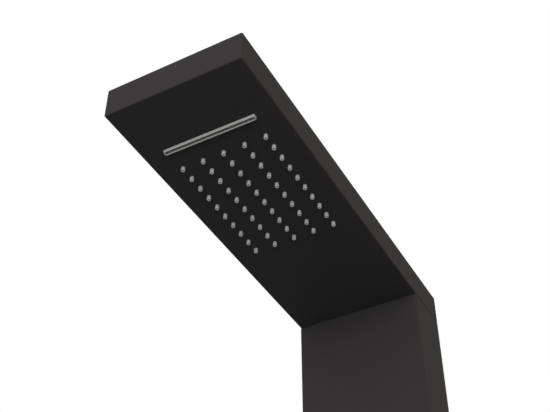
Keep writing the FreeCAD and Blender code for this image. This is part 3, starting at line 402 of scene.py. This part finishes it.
# Link tube and union nuts: a bare copper tube from the mixer up to the diverter, held at both
# ends by hexagonal brass nuts.
NUT_LEAD = 0.5


def hex_nut(flats, bore, low, high):
    """A nut: a chamfered hexagon, closed through a bore with a small lead-in at both ends."""
    angle = whole_turn(TURN_SIDES)
    rim = HEX_RIM * flats
    inside = [(rim, high), (bore + NUT_LEAD, high), (bore, high - NUT_LEAD), (bore, low + NUT_LEAD),
              (bore + NUT_LEAD, low), (rim, low)]
    return lathe(angle, hexagon(flats, low, high, angle), rows_of(inside))


LINK_NUT_HEIGHT = 11.0
LINK_FIT = 0.2
low, high = span("link_nuts")
tube_low, tube_high = span("link_tube")
link_bore = (tube_high[0] - tube_low[0]) / 2 + LINK_FIT
link_axis = [0.0, (low[1] + high[1]) / 2, 0.0]
link_flats = high[0] - low[0]
lower_nut = hex_nut(link_flats, link_bore, low[2], low[2] + LINK_NUT_HEIGHT) + link_axis
upper_nut = hex_nut(link_flats, link_bore, high[2] - LINK_NUT_HEIGHT, high[2]) + link_axis
fitted(made("chamfered_link_nuts", lower_nut, upper_nut), turned_brass, "panel", "brass", "link_nuts")

# Drawn copper: soft and reddish, with faint lines along the tube from the die.
DIE_LINE_MM = 0.6
DIE_LINE_LENGTH_MM = 40.0
die_stretch = (1, 1, DIE_LINE_MM / DIE_LINE_LENGTH_MM)
copper = new_finish("drawn copper", DIE_LINE_MM, ("#b87350", "#cf8d68"), (0.22, 0.38), 0.006,
                    stretch=die_stretch, Metallic=1.0)
coat(copper, "link_tube")


# Diverter body: the second brass casting, with two outlets side by side on its manifold. It is
# held by its neck, which passes out through the casing as the mixer's does.
coat(cast_brass, "diverter_body")


# Pipe tails: turned brass, screwed into the outlets by a hexagon, each with a barbed tail that the
# pipe is pushed on. A barb's radius falls evenly from its foot to its top, once for every barb.
TAIL_HEX_LOW = 7.8
TAIL_HEX_HIGH = 14.8
TAIL_SHANK = 6.0
TAIL_RADIUS = 3.9
TAIL_BORE = 2.4
TAIL_FLATS = 17.0
TAIL_BARE = 5.0
BARBS = 5
BARB_DEPTH = 0.5
low, high = span("pipe_tails")
tail_top = high[2] - low[2]
angle = whole_turn(TURN_SIDES)
barb_height = np.linspace(TAIL_HEX_HIGH + TAIL_BARE, tail_top, BARBS * 8 + 1)[:, None]
barb_share = (barb_height - barb_height[0]) / (tail_top - barb_height[0]) * BARBS % 1.0
tail = lathe(
    angle,
    rows_of([(TAIL_BORE, 0.0), (TAIL_SHANK, 0.0), (TAIL_SHANK, TAIL_HEX_LOW)]),
    hexagon(TAIL_FLATS, TAIL_HEX_LOW, TAIL_HEX_HIGH, angle),
    rows_of([(TAIL_RADIUS, TAIL_HEX_HIGH), (TAIL_RADIUS, TAIL_HEX_HIGH + TAIL_BARE)]),
    (TAIL_RADIUS - BARB_DEPTH * barb_share, barb_height),
    rows_of([(TAIL_BORE, tail_top), (TAIL_BORE, 0.0)]))
tail_x = high[0] - TAIL_FLATS / 2
tail_y = (low[1] + high[1]) / 2
tails = [tail + [side * tail_x, tail_y, low[2]] for side in (-1, 1)]
fitted(made("barbed_pipe_tails", *tails), turned_brass, "panel", "brass", "pipe_tails")


# Diverter cartridge, clamp nut and spindle: the spindle turns in the moulded cartridge and carries
# the knob, and the brass nut clamps the diverter's neck to the casing.
coat(acetal, "diverter_cartridge")
coat(turned_brass, "diverter_clamp_nut", "diverter_spindle")


# Diverter knob: turned brass with 24 milled flutes for wet fingers and a groove on its face that
# points at the chosen outlet. It is painted satin black and fixed by a grub screw from below.
def softer(a, b, width):
    """The smaller of two values, with the crease between them rounded over a width."""
    return (a + b - np.sqrt((a - b) ** 2 + width ** 2)) / 2


KNOB_FLUTES = 24
FLUTE_RADIUS = 1.5
FLUTE_DEPTH = 1.0
KNOB_EDGE = 2.0
KNOB_BACK_EDGE = 0.6
KNOB_WALL = 3.2
KNOB_RECESS = 10.2
KNOB_RECESS_EDGE = 0.3
KNOB_BORE = 4.1
KNOB_BORE_END = 23.5
POINTER_WIDTH = 1.6
POINTER_DEPTH = 0.8
POINTER_LENGTH = 12.0
CREASE = 0.2
FACE_CREASE = 0.05
FACE_CLEAR = 1.0
POINTER_FAN = 0.35


def fluted_knob():
    """A turned profile carried round the axis: at each bearing from the pointer the radius is the
    smaller of the profile's and the flutes', and the face sinks inside the pointer's groove. Beside
    the pointer the bearings widen towards the middle, so that the grid runs along the groove."""
    low, high = span("diverter_knob")
    rim = (high[2] - low[2]) / 2
    front = high[1] - low[1]
    face = np.linspace(0.0, rim - KNOB_EDGE, 40)[:, None]
    edge = rounded_line(
        [(rim - KNOB_EDGE, front), (rim, front), (rim, 0.0), (rim - KNOB_WALL, 0.0),
         (rim - KNOB_WALL, KNOB_RECESS), (KNOB_BORE, KNOB_RECESS), (KNOB_BORE, KNOB_BORE_END),
         (0.0, KNOB_BORE_END)],
        [0.0, KNOB_EDGE, KNOB_BACK_EDGE, KNOB_RECESS_EDGE, KNOB_RECESS_EDGE, 0.0, 0.0, 0.0], steps=8)
    profile = np.concatenate((np.hstack((face, np.full_like(face, front))), edge))
    radius, height = np.hsplit(profile, 2)
    angle = whole_turn(KNOB_FLUTES * 20) - np.pi
    widening = rim / np.maximum(radius, rim - POINTER_LENGTH) - 1
    bearing = angle * (1 + widening * np.exp(-(angle / POINTER_FAN) ** 2))
    pitch = 2 * np.pi / KNOB_FLUTES
    flute_axis = rim + FLUTE_RADIUS - FLUTE_DEPTH
    aside = flute_axis * np.sin(bearing % pitch - pitch / 2)
    flute = flute_axis - np.sqrt(np.maximum(FLUTE_RADIUS ** 2 - aside ** 2, 0.0))
    radius = softer(radius, flute, CREASE)
    x = radius * np.sin(bearing)
    z = radius * np.cos(bearing)
    inside = softer(POINTER_WIDTH / 2 - np.abs(x), z - rim + POINTER_LENGTH, CREASE) / CREASE
    groove = front + FACE_CLEAR - (FACE_CLEAR + POINTER_DEPTH) * inside.clip(0.0, 1.0)
    y = high[1] - softer(height, groove, FACE_CREASE)
    return np.stack((x, y, (low[2] + high[2]) / 2 + z), axis=-1)


fitted(made("fluted_knob", fluted_knob()), satin, "diverter_knob", "black_control", "diverter_knob")


# Feed pipes: two plastic pipes pushed on the tails, which rise along the wall, bend forward once
# and run through the head to the chambers.
# Cross-linked polyethylene: a waxy, slightly yellow white, with faint lines from its die.
PIPE_RADIUS = 6.0
PIPE_BORE = 4.0
PIPE_BEND = 45.0
PIPE_SIDES = 32
pipe_plastic = new_finish("cross-linked polyethylene", DIE_LINE_MM, ("#d6d4cc", "#e2e0d8"), (0.32, 0.42),
                          0.006, stretch=die_stretch, **{"Specular IOR Level": 0.4})


def feed_pipe(node):
    """A ring carried up a straight, round a quarter bend in the YZ plane and along a straight: at
    a lean t the way on is (0, -sin t, cos t) and the ring's second axis is (0, cos t, sin t)."""
    low, high = span(node)
    lean = np.concatenate(([0.0], np.linspace(0.0, np.pi / 2, 31), [np.pi / 2]))
    run = np.zeros_like(lean)
    run[0] = low[2] - high[2] + PIPE_RADIUS + PIPE_BEND
    run[-1] = high[1] - PIPE_RADIUS - PIPE_BEND - low[1]
    y = high[1] - PIPE_RADIUS - PIPE_BEND * (1 - np.cos(lean)) - run * np.sin(lean)
    z = high[2] - PIPE_RADIUS - PIPE_BEND * (1 - np.sin(lean)) + run * np.cos(lean)
    angle = whole_turn(PIPE_SIDES)
    walls = []
    for radius, order in ((PIPE_RADIUS, 1), (PIPE_BORE, -1)):
        across = np.broadcast_to((low[0] + high[0]) / 2 + radius * np.cos(angle), (len(lean), len(angle)))
        up = radius * np.sin(angle)
        wall = (across, y[:, None] + np.cos(lean)[:, None] * up, z[:, None] + np.sin(lean)[:, None] * up)
        walls.append(np.stack(wall, axis=-1)[::order])
    return np.concatenate((*walls, walls[0][:1]))


for node in ("rain_pipe", "waterfall_pipe"):
    fitted(made("bent_" + node, feed_pipe(node)), pipe_plastic, "panel", "pipe_plastic", node)


# Pipe clamps: stainless worm-drive clips. A slotted band goes once round the pipe and overlaps
# itself under a pressed housing, where a hexagon-headed worm screw draws it tight.
def drawn(section, stations):
    """A closed section carried along a straight line: at each station (place, share) it is drawn
    in towards its middle by that share. The section's two axes come first, the place last."""
    middle = section[:-1].mean(axis=0)
    place, share = np.asarray(stations, float).T
    flat = middle + share[:, None, None] * (section - middle)
    return np.concatenate((flat, np.broadcast_to(place[:, None, None], flat.shape[:2] + (1,))), axis=-1)


CLAMP_INSET = 8.0
BAND_RADIUS = 6.1
BAND_THICKNESS = 0.7
BAND_HALF = 4.0
BAND_START = math.radians(-12.0)
BAND_END = math.radians(402.0)
LAP_RISE = 0.5
SLOTS_FROM = math.radians(290.0)
SLOT_PITCH = 1.9
SLOT_DEPTH = 0.3
SLOT_HALF = 2.5
SLOT_EDGE = 0.3
HOUSING_HALF = 3.2
WORM_AXIS = 8.6
WORM_HALF = 5.5
WORM_FLATS = 4.6
WORM_POINT = 1.2
WORM_CREST = 2.0
WORM_DEPTH = 0.6
WORM_PITCH = 1.4
WORM_COLLAR = 2.4
WORM_COLLAR_LENGTH = 0.5
WORM_FACE = 1.0


def clip_band():
    """The band: a flat section carried round the pipe, lifted by its own thickness where it laps
    over its start, with grooves across its outer face at an even pitch near the housing."""
    turn = np.linspace(BAND_START, BAND_END, 420)
    lap = ((turn - 2 * np.pi - BAND_START + LAP_RISE) / LAP_RISE).clip(0.0, 1.0)
    base = BAND_RADIUS + BAND_THICKNESS * lap * lap * (3 - 2 * lap)
    t = BAND_THICKNESS
    side = (BAND_HALF, SLOT_HALF + SLOT_EDGE, SLOT_HALF, 0.0)
    outer = [(t, -x) for x in side] + [(t, x) for x in side[-2::-1]]
    corners = [(0.0, -BAND_HALF), *outer, (0.0, BAND_HALF)]
    section = rounded_line(corners, [0.2, 0.25, 0, 0, 0, 0, 0, 0.25, 0.2], 3, True)
    wave = np.cos(2 * np.pi * turn * BAND_RADIUS / SLOT_PITCH)
    cut = SLOT_DEPTH * (0.5 + 2.0 * wave).clip(0.0, 1.0) * (turn > SLOTS_FROM)
    slotted = (section[:, 0] > t - 1e-6) & (np.abs(section[:, 1]) < SLOT_HALF + 0.1)
    radius = base[:, None] + section[:, 0] - cut[:, None] * slotted
    band = (radius * np.cos(turn)[:, None], radius * np.sin(turn)[:, None], section[:, 1])
    band = np.stack(np.broadcast_arrays(*band), axis=-1)
    ends = [np.broadcast_to(band[i].mean(axis=0), band[i].shape)[None] for i in (0, -1)]
    return np.concatenate((ends[0], band, ends[1]))


def clip_housing():
    """The housing: an arched section in the plane of the pipe, drawn along the worm screw."""
    arch = [(6.8, -4.4), (8.0, -4.4), (11.4, -2.4), (11.4, 2.4), (8.0, 4.4), (6.8, 4.4)]
    section = rounded_line(arch, [0.2, 0.8, 1.6, 1.6, 0.8, 0.2], 5, True)
    h = HOUSING_HALF
    grid = drawn(section, [(-h, 0.0), (-h, 0.9), (0.3 - h, 1.0), (h - 0.3, 1.0), (h, 0.9), (h, 0.0)])
    return np.stack((grid[..., 0], grid[..., 2], grid[..., 1]), axis=-1)


def clip_worm():
    """The worm screw: a threaded core, a collar and a chamfered hexagon head, turned about Y."""
    angle = whole_turn(36)
    height = np.linspace(-WORM_HALF, HOUSING_HALF, 70)[:, None]
    head_low = HOUSING_HALF + WORM_COLLAR_LENGTH
    grid = lathe(
        angle,
        rows_of([(0.0, -WORM_HALF), (WORM_POINT, -WORM_HALF)]),
        (threaded(WORM_CREST, WORM_DEPTH, WORM_PITCH, height, angle), height),
        rows_of([(WORM_COLLAR, HOUSING_HALF), (WORM_COLLAR, head_low)]),
        hexagon(WORM_FLATS, head_low, WORM_HALF, angle),
        rows_of([(WORM_FACE, WORM_HALF), (0.0, WORM_HALF)]))
    return np.stack((grid[..., 0] + WORM_AXIS, grid[..., 2], -grid[..., 1]), axis=-1)


clip = [clip_band(), clip_housing(), clip_worm()]
clip_grids = []
for node, outside in (("rain_pipe", -1.0), ("waterfall_pipe", 1.0)):
    low, high = span(node)
    x = (low[0] + high[0]) / 2
    riser_y = high[1] - PIPE_RADIUS
    run_z = high[2] - PIPE_RADIUS
    # A clip's own axes are outwards, across and along the pipe: here upright, then lying forward.
    upright = np.array([[outside, 0, 0], [0, outside, 0], [0, 0, 1]])
    lying = np.array([[outside, 0, 0], [0, 0, -outside], [0, 1, 0]])
    for grid in clip:
        clip_grids.append(grid @ upright + [x, riser_y, low[2] + CLAMP_INSET])
        clip_grids.append(grid @ lying + [x, low[1] + CLAMP_INSET, run_z])
fitted(made("worm_drive_clips", *clip_grids), brushed, "panel", "stainless", "pipe_clamps")


# Passage edging: a rubber channel pressed round the hole in the head's floor where the pipes pass,
# so that the sheet's edge can't cut them.
coat(rubber, "passage_edging")


# Head tray: a folded and welded box of the same coated sheet, open above and pierced below for the
# nozzles, the spout and the pipes. It is butted on top of the column.
coat(powder, "head_tray")


# Nozzle mat: one sheet of soft silicone, moulded with its nozzles, which are pushed through the
# tray's holes from inside. Lime is rubbed off them with a finger.
NOZZLES_ACROSS = 5
NOZZLES_ALONG = 10
NOZZLE_SIDE_INSET = 16.0
NOZZLE_END_INSET = 12.0
NOZZLE_WAIST = 2.0
NOZZLE_TIP = 2.2
NOZZLE_TIP_ROUND = 0.6
NOZZLE_DISH = 1.3
NOZZLE_DISH_DEPTH = 0.4
NOZZLE_SKIRT = 1.0
ORIFICE = 0.7
ORIFICE_LAND = 1.5
FUNNEL = 1.4
SHEET_THICKNESS = 2.0
SHEET_HALF = 56.5
SHEET_CORNER = 3.0
SIDE_STEPS = 7
low, high = span("nozzle_mat")
pitch_x = (high[0] - low[0] - 2 * NOZZLE_SIDE_INSET) / (NOZZLES_ACROSS - 1)
pitch_y = (high[1] - low[1] - 2 * NOZZLE_END_INSET) / (NOZZLES_ALONG - 1)
sheet_low = high[2] - SHEET_THICKNESS


def border(half_x, half_y, steps_x, steps_y):
    """Points round a rectangle in equal steps along each side, back to the first corner."""
    x = np.linspace(-half_x, half_x, steps_x + 1)
    y = np.linspace(-half_y, half_y, steps_y + 1)
    sides = [(x[:-1], -half_y), (half_x, y[:-1]), (x[:0:-1], half_y), (-half_x, y[:0:-1]), (x[:1], -half_y)]
    return np.concatenate([np.stack(np.broadcast_arrays(*side), axis=-1) for side in sides])


def nozzle_cell():
    """One nozzle with its share of the sheet. Round the sheet's cell (first parameter) each line
    runs (second) from the cell's border under the sheet to the nozzle, down it, over its rounded
    tip into the dished orifice, up the bore and out to the border over the sheet."""
    tip = low[2]
    edge = border(pitch_x / 2, pitch_y / 2, SIDE_STEPS, SIDE_STEPS)
    angle = np.linspace(-0.75 * np.pi, 1.25 * np.pi, len(edge))
    profile = rounded_line(
        [(NOZZLE_WAIST + NOZZLE_SKIRT, sheet_low), (NOZZLE_WAIST, sheet_low), (NOZZLE_TIP, tip),
         (NOZZLE_DISH, tip), (ORIFICE, tip + NOZZLE_DISH_DEPTH), (ORIFICE, tip + ORIFICE_LAND),
         (FUNNEL, high[2]), (FUNNEL + NOZZLE_SKIRT, high[2])],
        [0.0, 0.1, NOZZLE_TIP_ROUND, 0.15, 0.1, 0.0, 0.1, 0.0], steps=6)
    lines = lathe(angle, np.hsplit(profile, 2))
    under, over = (np.insert(edge, 2, z, axis=1)[None] for z in (sheet_low, high[2]))
    return np.concatenate((under, lines, over))


def sheet_margin():
    """The sheet's margin: from the border of all cells under the sheet, round the sheet's edge and
    back over it. Near a corner the edge's points are drawn in to the corner's arc."""
    half = np.array([NOZZLES_ACROSS * pitch_x, NOZZLES_ALONG * pitch_y]) / 2
    inner = border(*half, NOZZLES_ACROSS * SIDE_STEPS, NOZZLES_ALONG * SIDE_STEPS)
    reach = np.array([SHEET_HALF, (high[1] - low[1]) / 2])
    outer = inner * reach / half
    core = outer.clip(SHEET_CORNER - reach, reach - SHEET_CORNER)
    beyond = outer - core
    outer = core + beyond * SHEET_CORNER / np.linalg.norm(beyond, axis=1, keepdims=True)
    rings = [(inner, sheet_low), (outer, sheet_low), (outer, high[2]), (inner, high[2])]
    return np.stack([np.insert(ring, 2, z, axis=1) for ring, z in rings])


across = (np.arange(NOZZLES_ACROSS) - (NOZZLES_ACROSS - 1) / 2) * pitch_x
along = low[1] + NOZZLE_END_INSET + np.arange(NOZZLES_ALONG) * pitch_y
places = np.stack(np.meshgrid(across, along, [0.0]), axis=-1).reshape(-1, 1, 1, 3)
mat_middle = [0.0, (low[1] + high[1]) / 2, 0.0]

# Silicone: translucent grey rubber with a soft sheen and a faint bloom from handling. Light goes
# about a millimetre into it, which softens the edges and the mouths.
BLOOM_MM = 3.0
GLOW_DEPTH = 0.001
silicone = new_finish("grey silicone rubber", BLOOM_MM, ("#bababa", "#c8c8c8"), (0.42, 0.56), 0.02,
                      **{"Specular IOR Level": 0.3, "Subsurface Weight": 0.3, "Subsurface Scale": GLOW_DEPTH,
                         "Subsurface Radius": (1.0, 1.0, 1.0)})
fitted(made("moulded_nozzles", nozzle_cell() + places, sheet_margin() + mat_middle), silicone, "panel",
       "grey_silicone", "nozzle_mat")


# Waterfall spout: a narrow flanged mouth moulded in grey plastic, dropped through the tray's slot
# from inside so that its flange rests on the floor.
SPOUT_WALL = 1.0
SPOUT_FLANGE = 2.4
SPOUT_CORNER = 1.5
SPOUT_LIP = 0.4
CORNER_STEPS = 7
low, high = span("waterfall_spout")
flange_low = high[2] - SPOUT_WALL
quarter = np.linspace(0.0, np.pi / 2, CORNER_STEPS)
heading = np.concatenate([quarter + k * np.pi / 2 for k in range(4)] + [quarter[:1]])
reach = (high[:2] - low[:2]) / 2 - SPOUT_FLANGE - SPOUT_CORNER
signs = np.repeat([(1, 1), (-1, 1), (-1, -1), (1, -1)], CORNER_STEPS, axis=0)
centres = np.concatenate((signs, signs[:1])) * reach + (low + high)[:2] / 2
wall = rounded_line(
    [(0.0, low[2]), (0.0, flange_low), (SPOUT_FLANGE, flange_low), (SPOUT_FLANGE, high[2]),
     (-SPOUT_WALL, high[2]), (-SPOUT_WALL, low[2])],
    [SPOUT_LIP, 0.3, 0.2, 0.2, 0.4, SPOUT_LIP], 6, True)
# The wall's profile is carried round a rectangle with round corners: an offset widens each arc.
spread = SPOUT_CORNER + wall[:, :1]
outline = (centres[:, 0] + spread * np.cos(heading), centres[:, 1] + spread * np.sin(heading))
spout = np.stack(np.broadcast_arrays(*outline, wall[:, 1:]), axis=-1)

# Moulded grey plastic: satin, with the fine pebble of its tool.
grey_plastic = new_finish("moulded grey plastic", SPARK_MM, ("#b2b2b2", "#bfbfbf"), (0.36, 0.48), 0.01)
fitted(made("moulded_spout", spout), grey_plastic, "panel", "spout_plastic", "waterfall_spout")


# Chambers: two moulded covers that feed the nozzles and the spout, pressed down on the mat and on
# a rubber gasket by nuts on studs welded to the tray's floor.
# Moulded white plastic: even and slightly glossy from a polished tool.
white_plastic = new_finish("moulded white plastic", SPARK_MM, ("#dededa", "#e8e8e4"), (0.38, 0.48), 0.01)
coat(white_plastic, "rain_chamber", "waterfall_chamber")
coat(rubber, "waterfall_gasket")
coat(zinc, "chamber_studs", "chamber_nuts")


# Joint bolts and nuts: button-headed socket screws pushed up through the angles and the head's
# floor, with a chamfered hexagon nut on each inside the head.
BOLT_HEAD = 4.5
BOLT_HEAD_HEIGHT = 3.0
BOLT_DOME = 2.25
BOLT_RADIUS = 2.5
BOLT_SOCKET = 3.0
BOLT_SOCKET_DEPTH = 2.0
BOLT_SOCKET_LEAD = 0.2
BOLT_SOCKET_RIM = 0.4
SCREW_TIP = 0.5
JOINT_NUT_FLATS = 8.0
JOINT_NUT_FIT = 0.05


def socket_screw(profile, radii, flats, depth, lead):
    """A screw about the vertical axis, from the floor of its hexagon socket up to its rim, then
    along a turned profile to its tip. Heights run from the head's face, positive into the screw."""
    angle = whole_turn(TURN_SIDES)
    socket = hex_radius(flats, angle)[None]
    ends = np.array([[depth], [lead]])
    return lathe(
        angle,
        (np.zeros((1, 1)), ends[:1] + flats / 8),
        (np.broadcast_to(socket, (2, len(angle))), ends),
        rows_of(profile, radii))


low, high = span("joint_bolts")
bolt_length = high[2] - low[2]
bolt = socket_screw(
    [(BOLT_SOCKET / 2 + BOLT_SOCKET_RIM, 0.0), (BOLT_HEAD / 2, 0.0), (BOLT_HEAD, BOLT_DOME),
     (BOLT_HEAD, BOLT_HEAD_HEIGHT), (BOLT_RADIUS, BOLT_HEAD_HEIGHT), (BOLT_RADIUS, bolt_length - SCREW_TIP),
     (BOLT_RADIUS - SCREW_TIP, bolt_length), (0.0, bolt_length)],
    [0.0, 1.5, 0.4, 0.1, 0.0, 0.0, 0.0, 0.0], BOLT_SOCKET, BOLT_SOCKET_DEPTH, BOLT_SOCKET_LEAD)
bolt_x = (low[0] + BOLT_HEAD, high[0] - BOLT_HEAD)
bolt_y = (low[1] + BOLT_HEAD, high[1] - BOLT_HEAD)
bolts = [bolt + [x, y, low[2]] for x in bolt_x for y in bolt_y]
fitted(made("socket_joint_bolts", *bolts), zinc, "panel", "zinc_steel", "joint_bolts")
low, high = span("joint_nuts")
nut = hex_nut(JOINT_NUT_FLATS, BOLT_RADIUS + JOINT_NUT_FIT, low[2], high[2])
nuts = [nut + [x, y, 0.0] for x in bolt_x for y in bolt_y]
fitted(made("chamfered_joint_nuts", *nuts), zinc, "panel", "zinc_steel", "joint_nuts")


# Head lid: a coated sheet with folded lips, laid inside the tray's walls on six zinc-plated steel
# posts that stand on the tray's floor.
coat(powder, "head_lid")
coat(zinc, "lid_posts")


# Lid screws: countersunk steel socket screws, driven down into the posts until they are flush with
# the lid.
# Black oxide: a thin, dark conversion skin that keeps the steel's gloss.
LID_SCREW_HEAD = 2.7
LID_SCREW_RADIUS = 1.5
LID_SCREW_CONE = 1.2
LID_SOCKET = 2.0
LID_SOCKET_DEPTH = 1.1
LID_SOCKET_LEAD = 0.1
LID_SOCKET_RIM = 0.3
POST_FROM_MAT = 5.0
oxide = new_finish("black oxide steel", CLOUD_MM, ("#2c2c2e", "#3a3a3c"), (0.35, 0.50), 0.008, Metallic=1.0)
low, high = span("lid_screws")
screw_length = high[2] - low[2]
screw = socket_screw(
    [(LID_SOCKET / 2 + LID_SOCKET_RIM, 0.0), (LID_SCREW_HEAD, 0.0), (LID_SCREW_RADIUS, LID_SCREW_CONE),
     (LID_SCREW_RADIUS, screw_length - SCREW_TIP), (LID_SCREW_RADIUS - SCREW_TIP, screw_length),
     (0.0, screw_length)],
    [0.0, 0.15, 0.0, 0.0, 0.0, 0.0], LID_SOCKET, LID_SOCKET_DEPTH, LID_SOCKET_LEAD)
screw = screw * [1, 1, -1] + [0.0, 0.0, high[2]]
middle_row = span("nozzle_mat")[1][1] + POST_FROM_MAT
screw_x = (low[0] + LID_SCREW_HEAD, high[0] - LID_SCREW_HEAD)
screw_y = (low[1] + LID_SCREW_HEAD, middle_row, high[1] - LID_SCREW_HEAD)
screws = [screw + [x, y, 0.0] for x in screw_x for y in screw_y]
fitted(made("socket_lid_screws", *screws), oxide, "panel", "black_steel", "lid_screws")


# Floor, light and backdrop: a plain pale floor well below the panel that runs out into a white
# studio all round, whose light comes mostly from above and from the front.
FLOOR_DROP = 0.9
FLOOR_HALF = 60.0
floor_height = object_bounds()[0][2] - FLOOR_DROP
corners = np.array([[-1, -1, 0], [1, -1, 0], [1, 1, 0], [-1, 1, 0]]) * FLOOR_HALF + [0, 0, floor_height]
floor_mesh = bpy.data.meshes.new("floor")
floor_mesh.from_pydata(corners.tolist(), [], [(0, 1, 2, 3)])
floor = bpy.data.objects.new("floor", floor_mesh)
bpy.context.scene.collection.objects.link(floor)


def shows_backdrop(tree):
    """One for a ray that the eye follows, straight, mirrored or through glass; nought for light."""
    path = add(tree, "ShaderNodeLightPath").outputs
    direct = add(tree, "ShaderNodeMath", {0: path["Is Camera Ray"], 1: path["Is Glossy Ray"]},
                 operation="MAXIMUM")
    shown = add(tree, "ShaderNodeMath", {0: direct.outputs[0], 1: path["Is Transmission Ray"]},
                operation="MAXIMUM")
    return shown.outputs[0]


# Floor paint: pale and dull. Its tone is a little cool, so that it looks neutral in the warm light
# from the side, and it turns white with distance, so that no edge shows against the backdrop.
FLOOR_SEEN = "#e6e8ee"
FLOOR_LIT = "#909090"
FADE_FROM = 2.0
FADE_TO = 28.0
floor_paint, tree, shader, place = new_material(
    "pale floor paint", Roughness=0.9, **{"Emission Color": linear("#ffffff")})
shown = shows_backdrop(tree)
tone = add(tree, "ShaderNodeMix", {"Factor": shown, "A": linear(FLOOR_LIT), "B": linear(FLOOR_SEEN)},
           data_type="RGBA")
away = add(tree, "ShaderNodeVectorMath", {0: place}, operation="LENGTH")
fade = add(tree, "ShaderNodeMapRange", {"Value": away.outputs["Value"], "From Min": FADE_FROM,
                                        "From Max": FADE_TO}, interpolation_type="SMOOTHSTEP")
whitened = add(tree, "ShaderNodeMath", {0: fade.outputs["Result"], 1: shown}, operation="MULTIPLY")
tree.links.new(tone.outputs["Result"], shader.inputs["Base Color"])
tree.links.new(whitened.outputs[0], shader.inputs["Emission Strength"])
floor_mesh.materials.append(floor_paint)

# White studio: the eye sees it white all round, but its light is dimmer from below than from above
# and a little warm from the panel's right.
SKY_ABOVE = 0.80
SKY_BELOW = 0.22
SKY_DIM_AT = -0.45
SKY_FULL_AT = 0.25
WARM_SIDE = "#f4ecb8"
WARM_FROM = 0.3
WARM_FULL_AT = 0.6
world = bpy.data.worlds.new("white studio")
bpy.context.scene.world = world
world.use_nodes = True
tree = world.node_tree
tree.nodes.clear()
outwards = add(tree, "ShaderNodeTexCoord").outputs["Generated"]
direction = add(tree, "ShaderNodeSeparateXYZ", {"Vector": outwards})
glow = add(tree, "ShaderNodeMapRange",
           {"Value": direction.outputs["Z"], "From Min": SKY_DIM_AT, "From Max": SKY_FULL_AT,
            "To Min": SKY_BELOW, "To Max": SKY_ABOVE})
shown = shows_backdrop(tree)
level = add(tree, "ShaderNodeMix", {"Factor": shown, "A": glow.outputs["Result"], "B": 1.0},
            data_type="FLOAT")
warmth = add(tree, "ShaderNodeMapRange",
             {"Value": direction.outputs["X"], "From Min": WARM_FROM, "From Max": WARM_FULL_AT})
warmed = add(tree, "ShaderNodeMix", {"Factor": warmth.outputs["Result"], "A": linear("#ffffff"),
                                     "B": linear(WARM_SIDE)}, data_type="RGBA")
tint = add(tree, "ShaderNodeMix", {"Factor": shown, "A": warmed.outputs["Result"],
                                   "B": linear("#ffffff")}, data_type="RGBA")
studio = add(tree, "ShaderNodeBackground", {"Color": tint.outputs["Result"],
                                            "Strength": level.outputs["Result"]})
add(tree, "ShaderNodeOutputWorld", {"Surface": studio.outputs[0]})

# Front softbox: a large soft lamp ahead of the panel and to its right.
KEY_WIDTH = 2.4
KEY_HEIGHT = 1.6
KEY_WATTS = 44.0
KEY_PLACE = (0.9, -2.6, -0.25)
KEY_TILT = math.radians(88.0)
KEY_TURN = math.radians(20.0)
key_lamp = bpy.data.lights.new("front softbox", "AREA")
key_lamp.shape = "RECTANGLE"
key_lamp.size = KEY_WIDTH
key_lamp.size_y = KEY_HEIGHT
key_lamp.energy = KEY_WATTS
key = bpy.data.objects.new("front softbox", key_lamp)
key.location = KEY_PLACE
key.rotation_euler = (KEY_TILT, 0.0, KEY_TURN)
bpy.context.scene.collection.objects.link(key)

bpy.context.scene.view_settings.view_transform = "Standard"
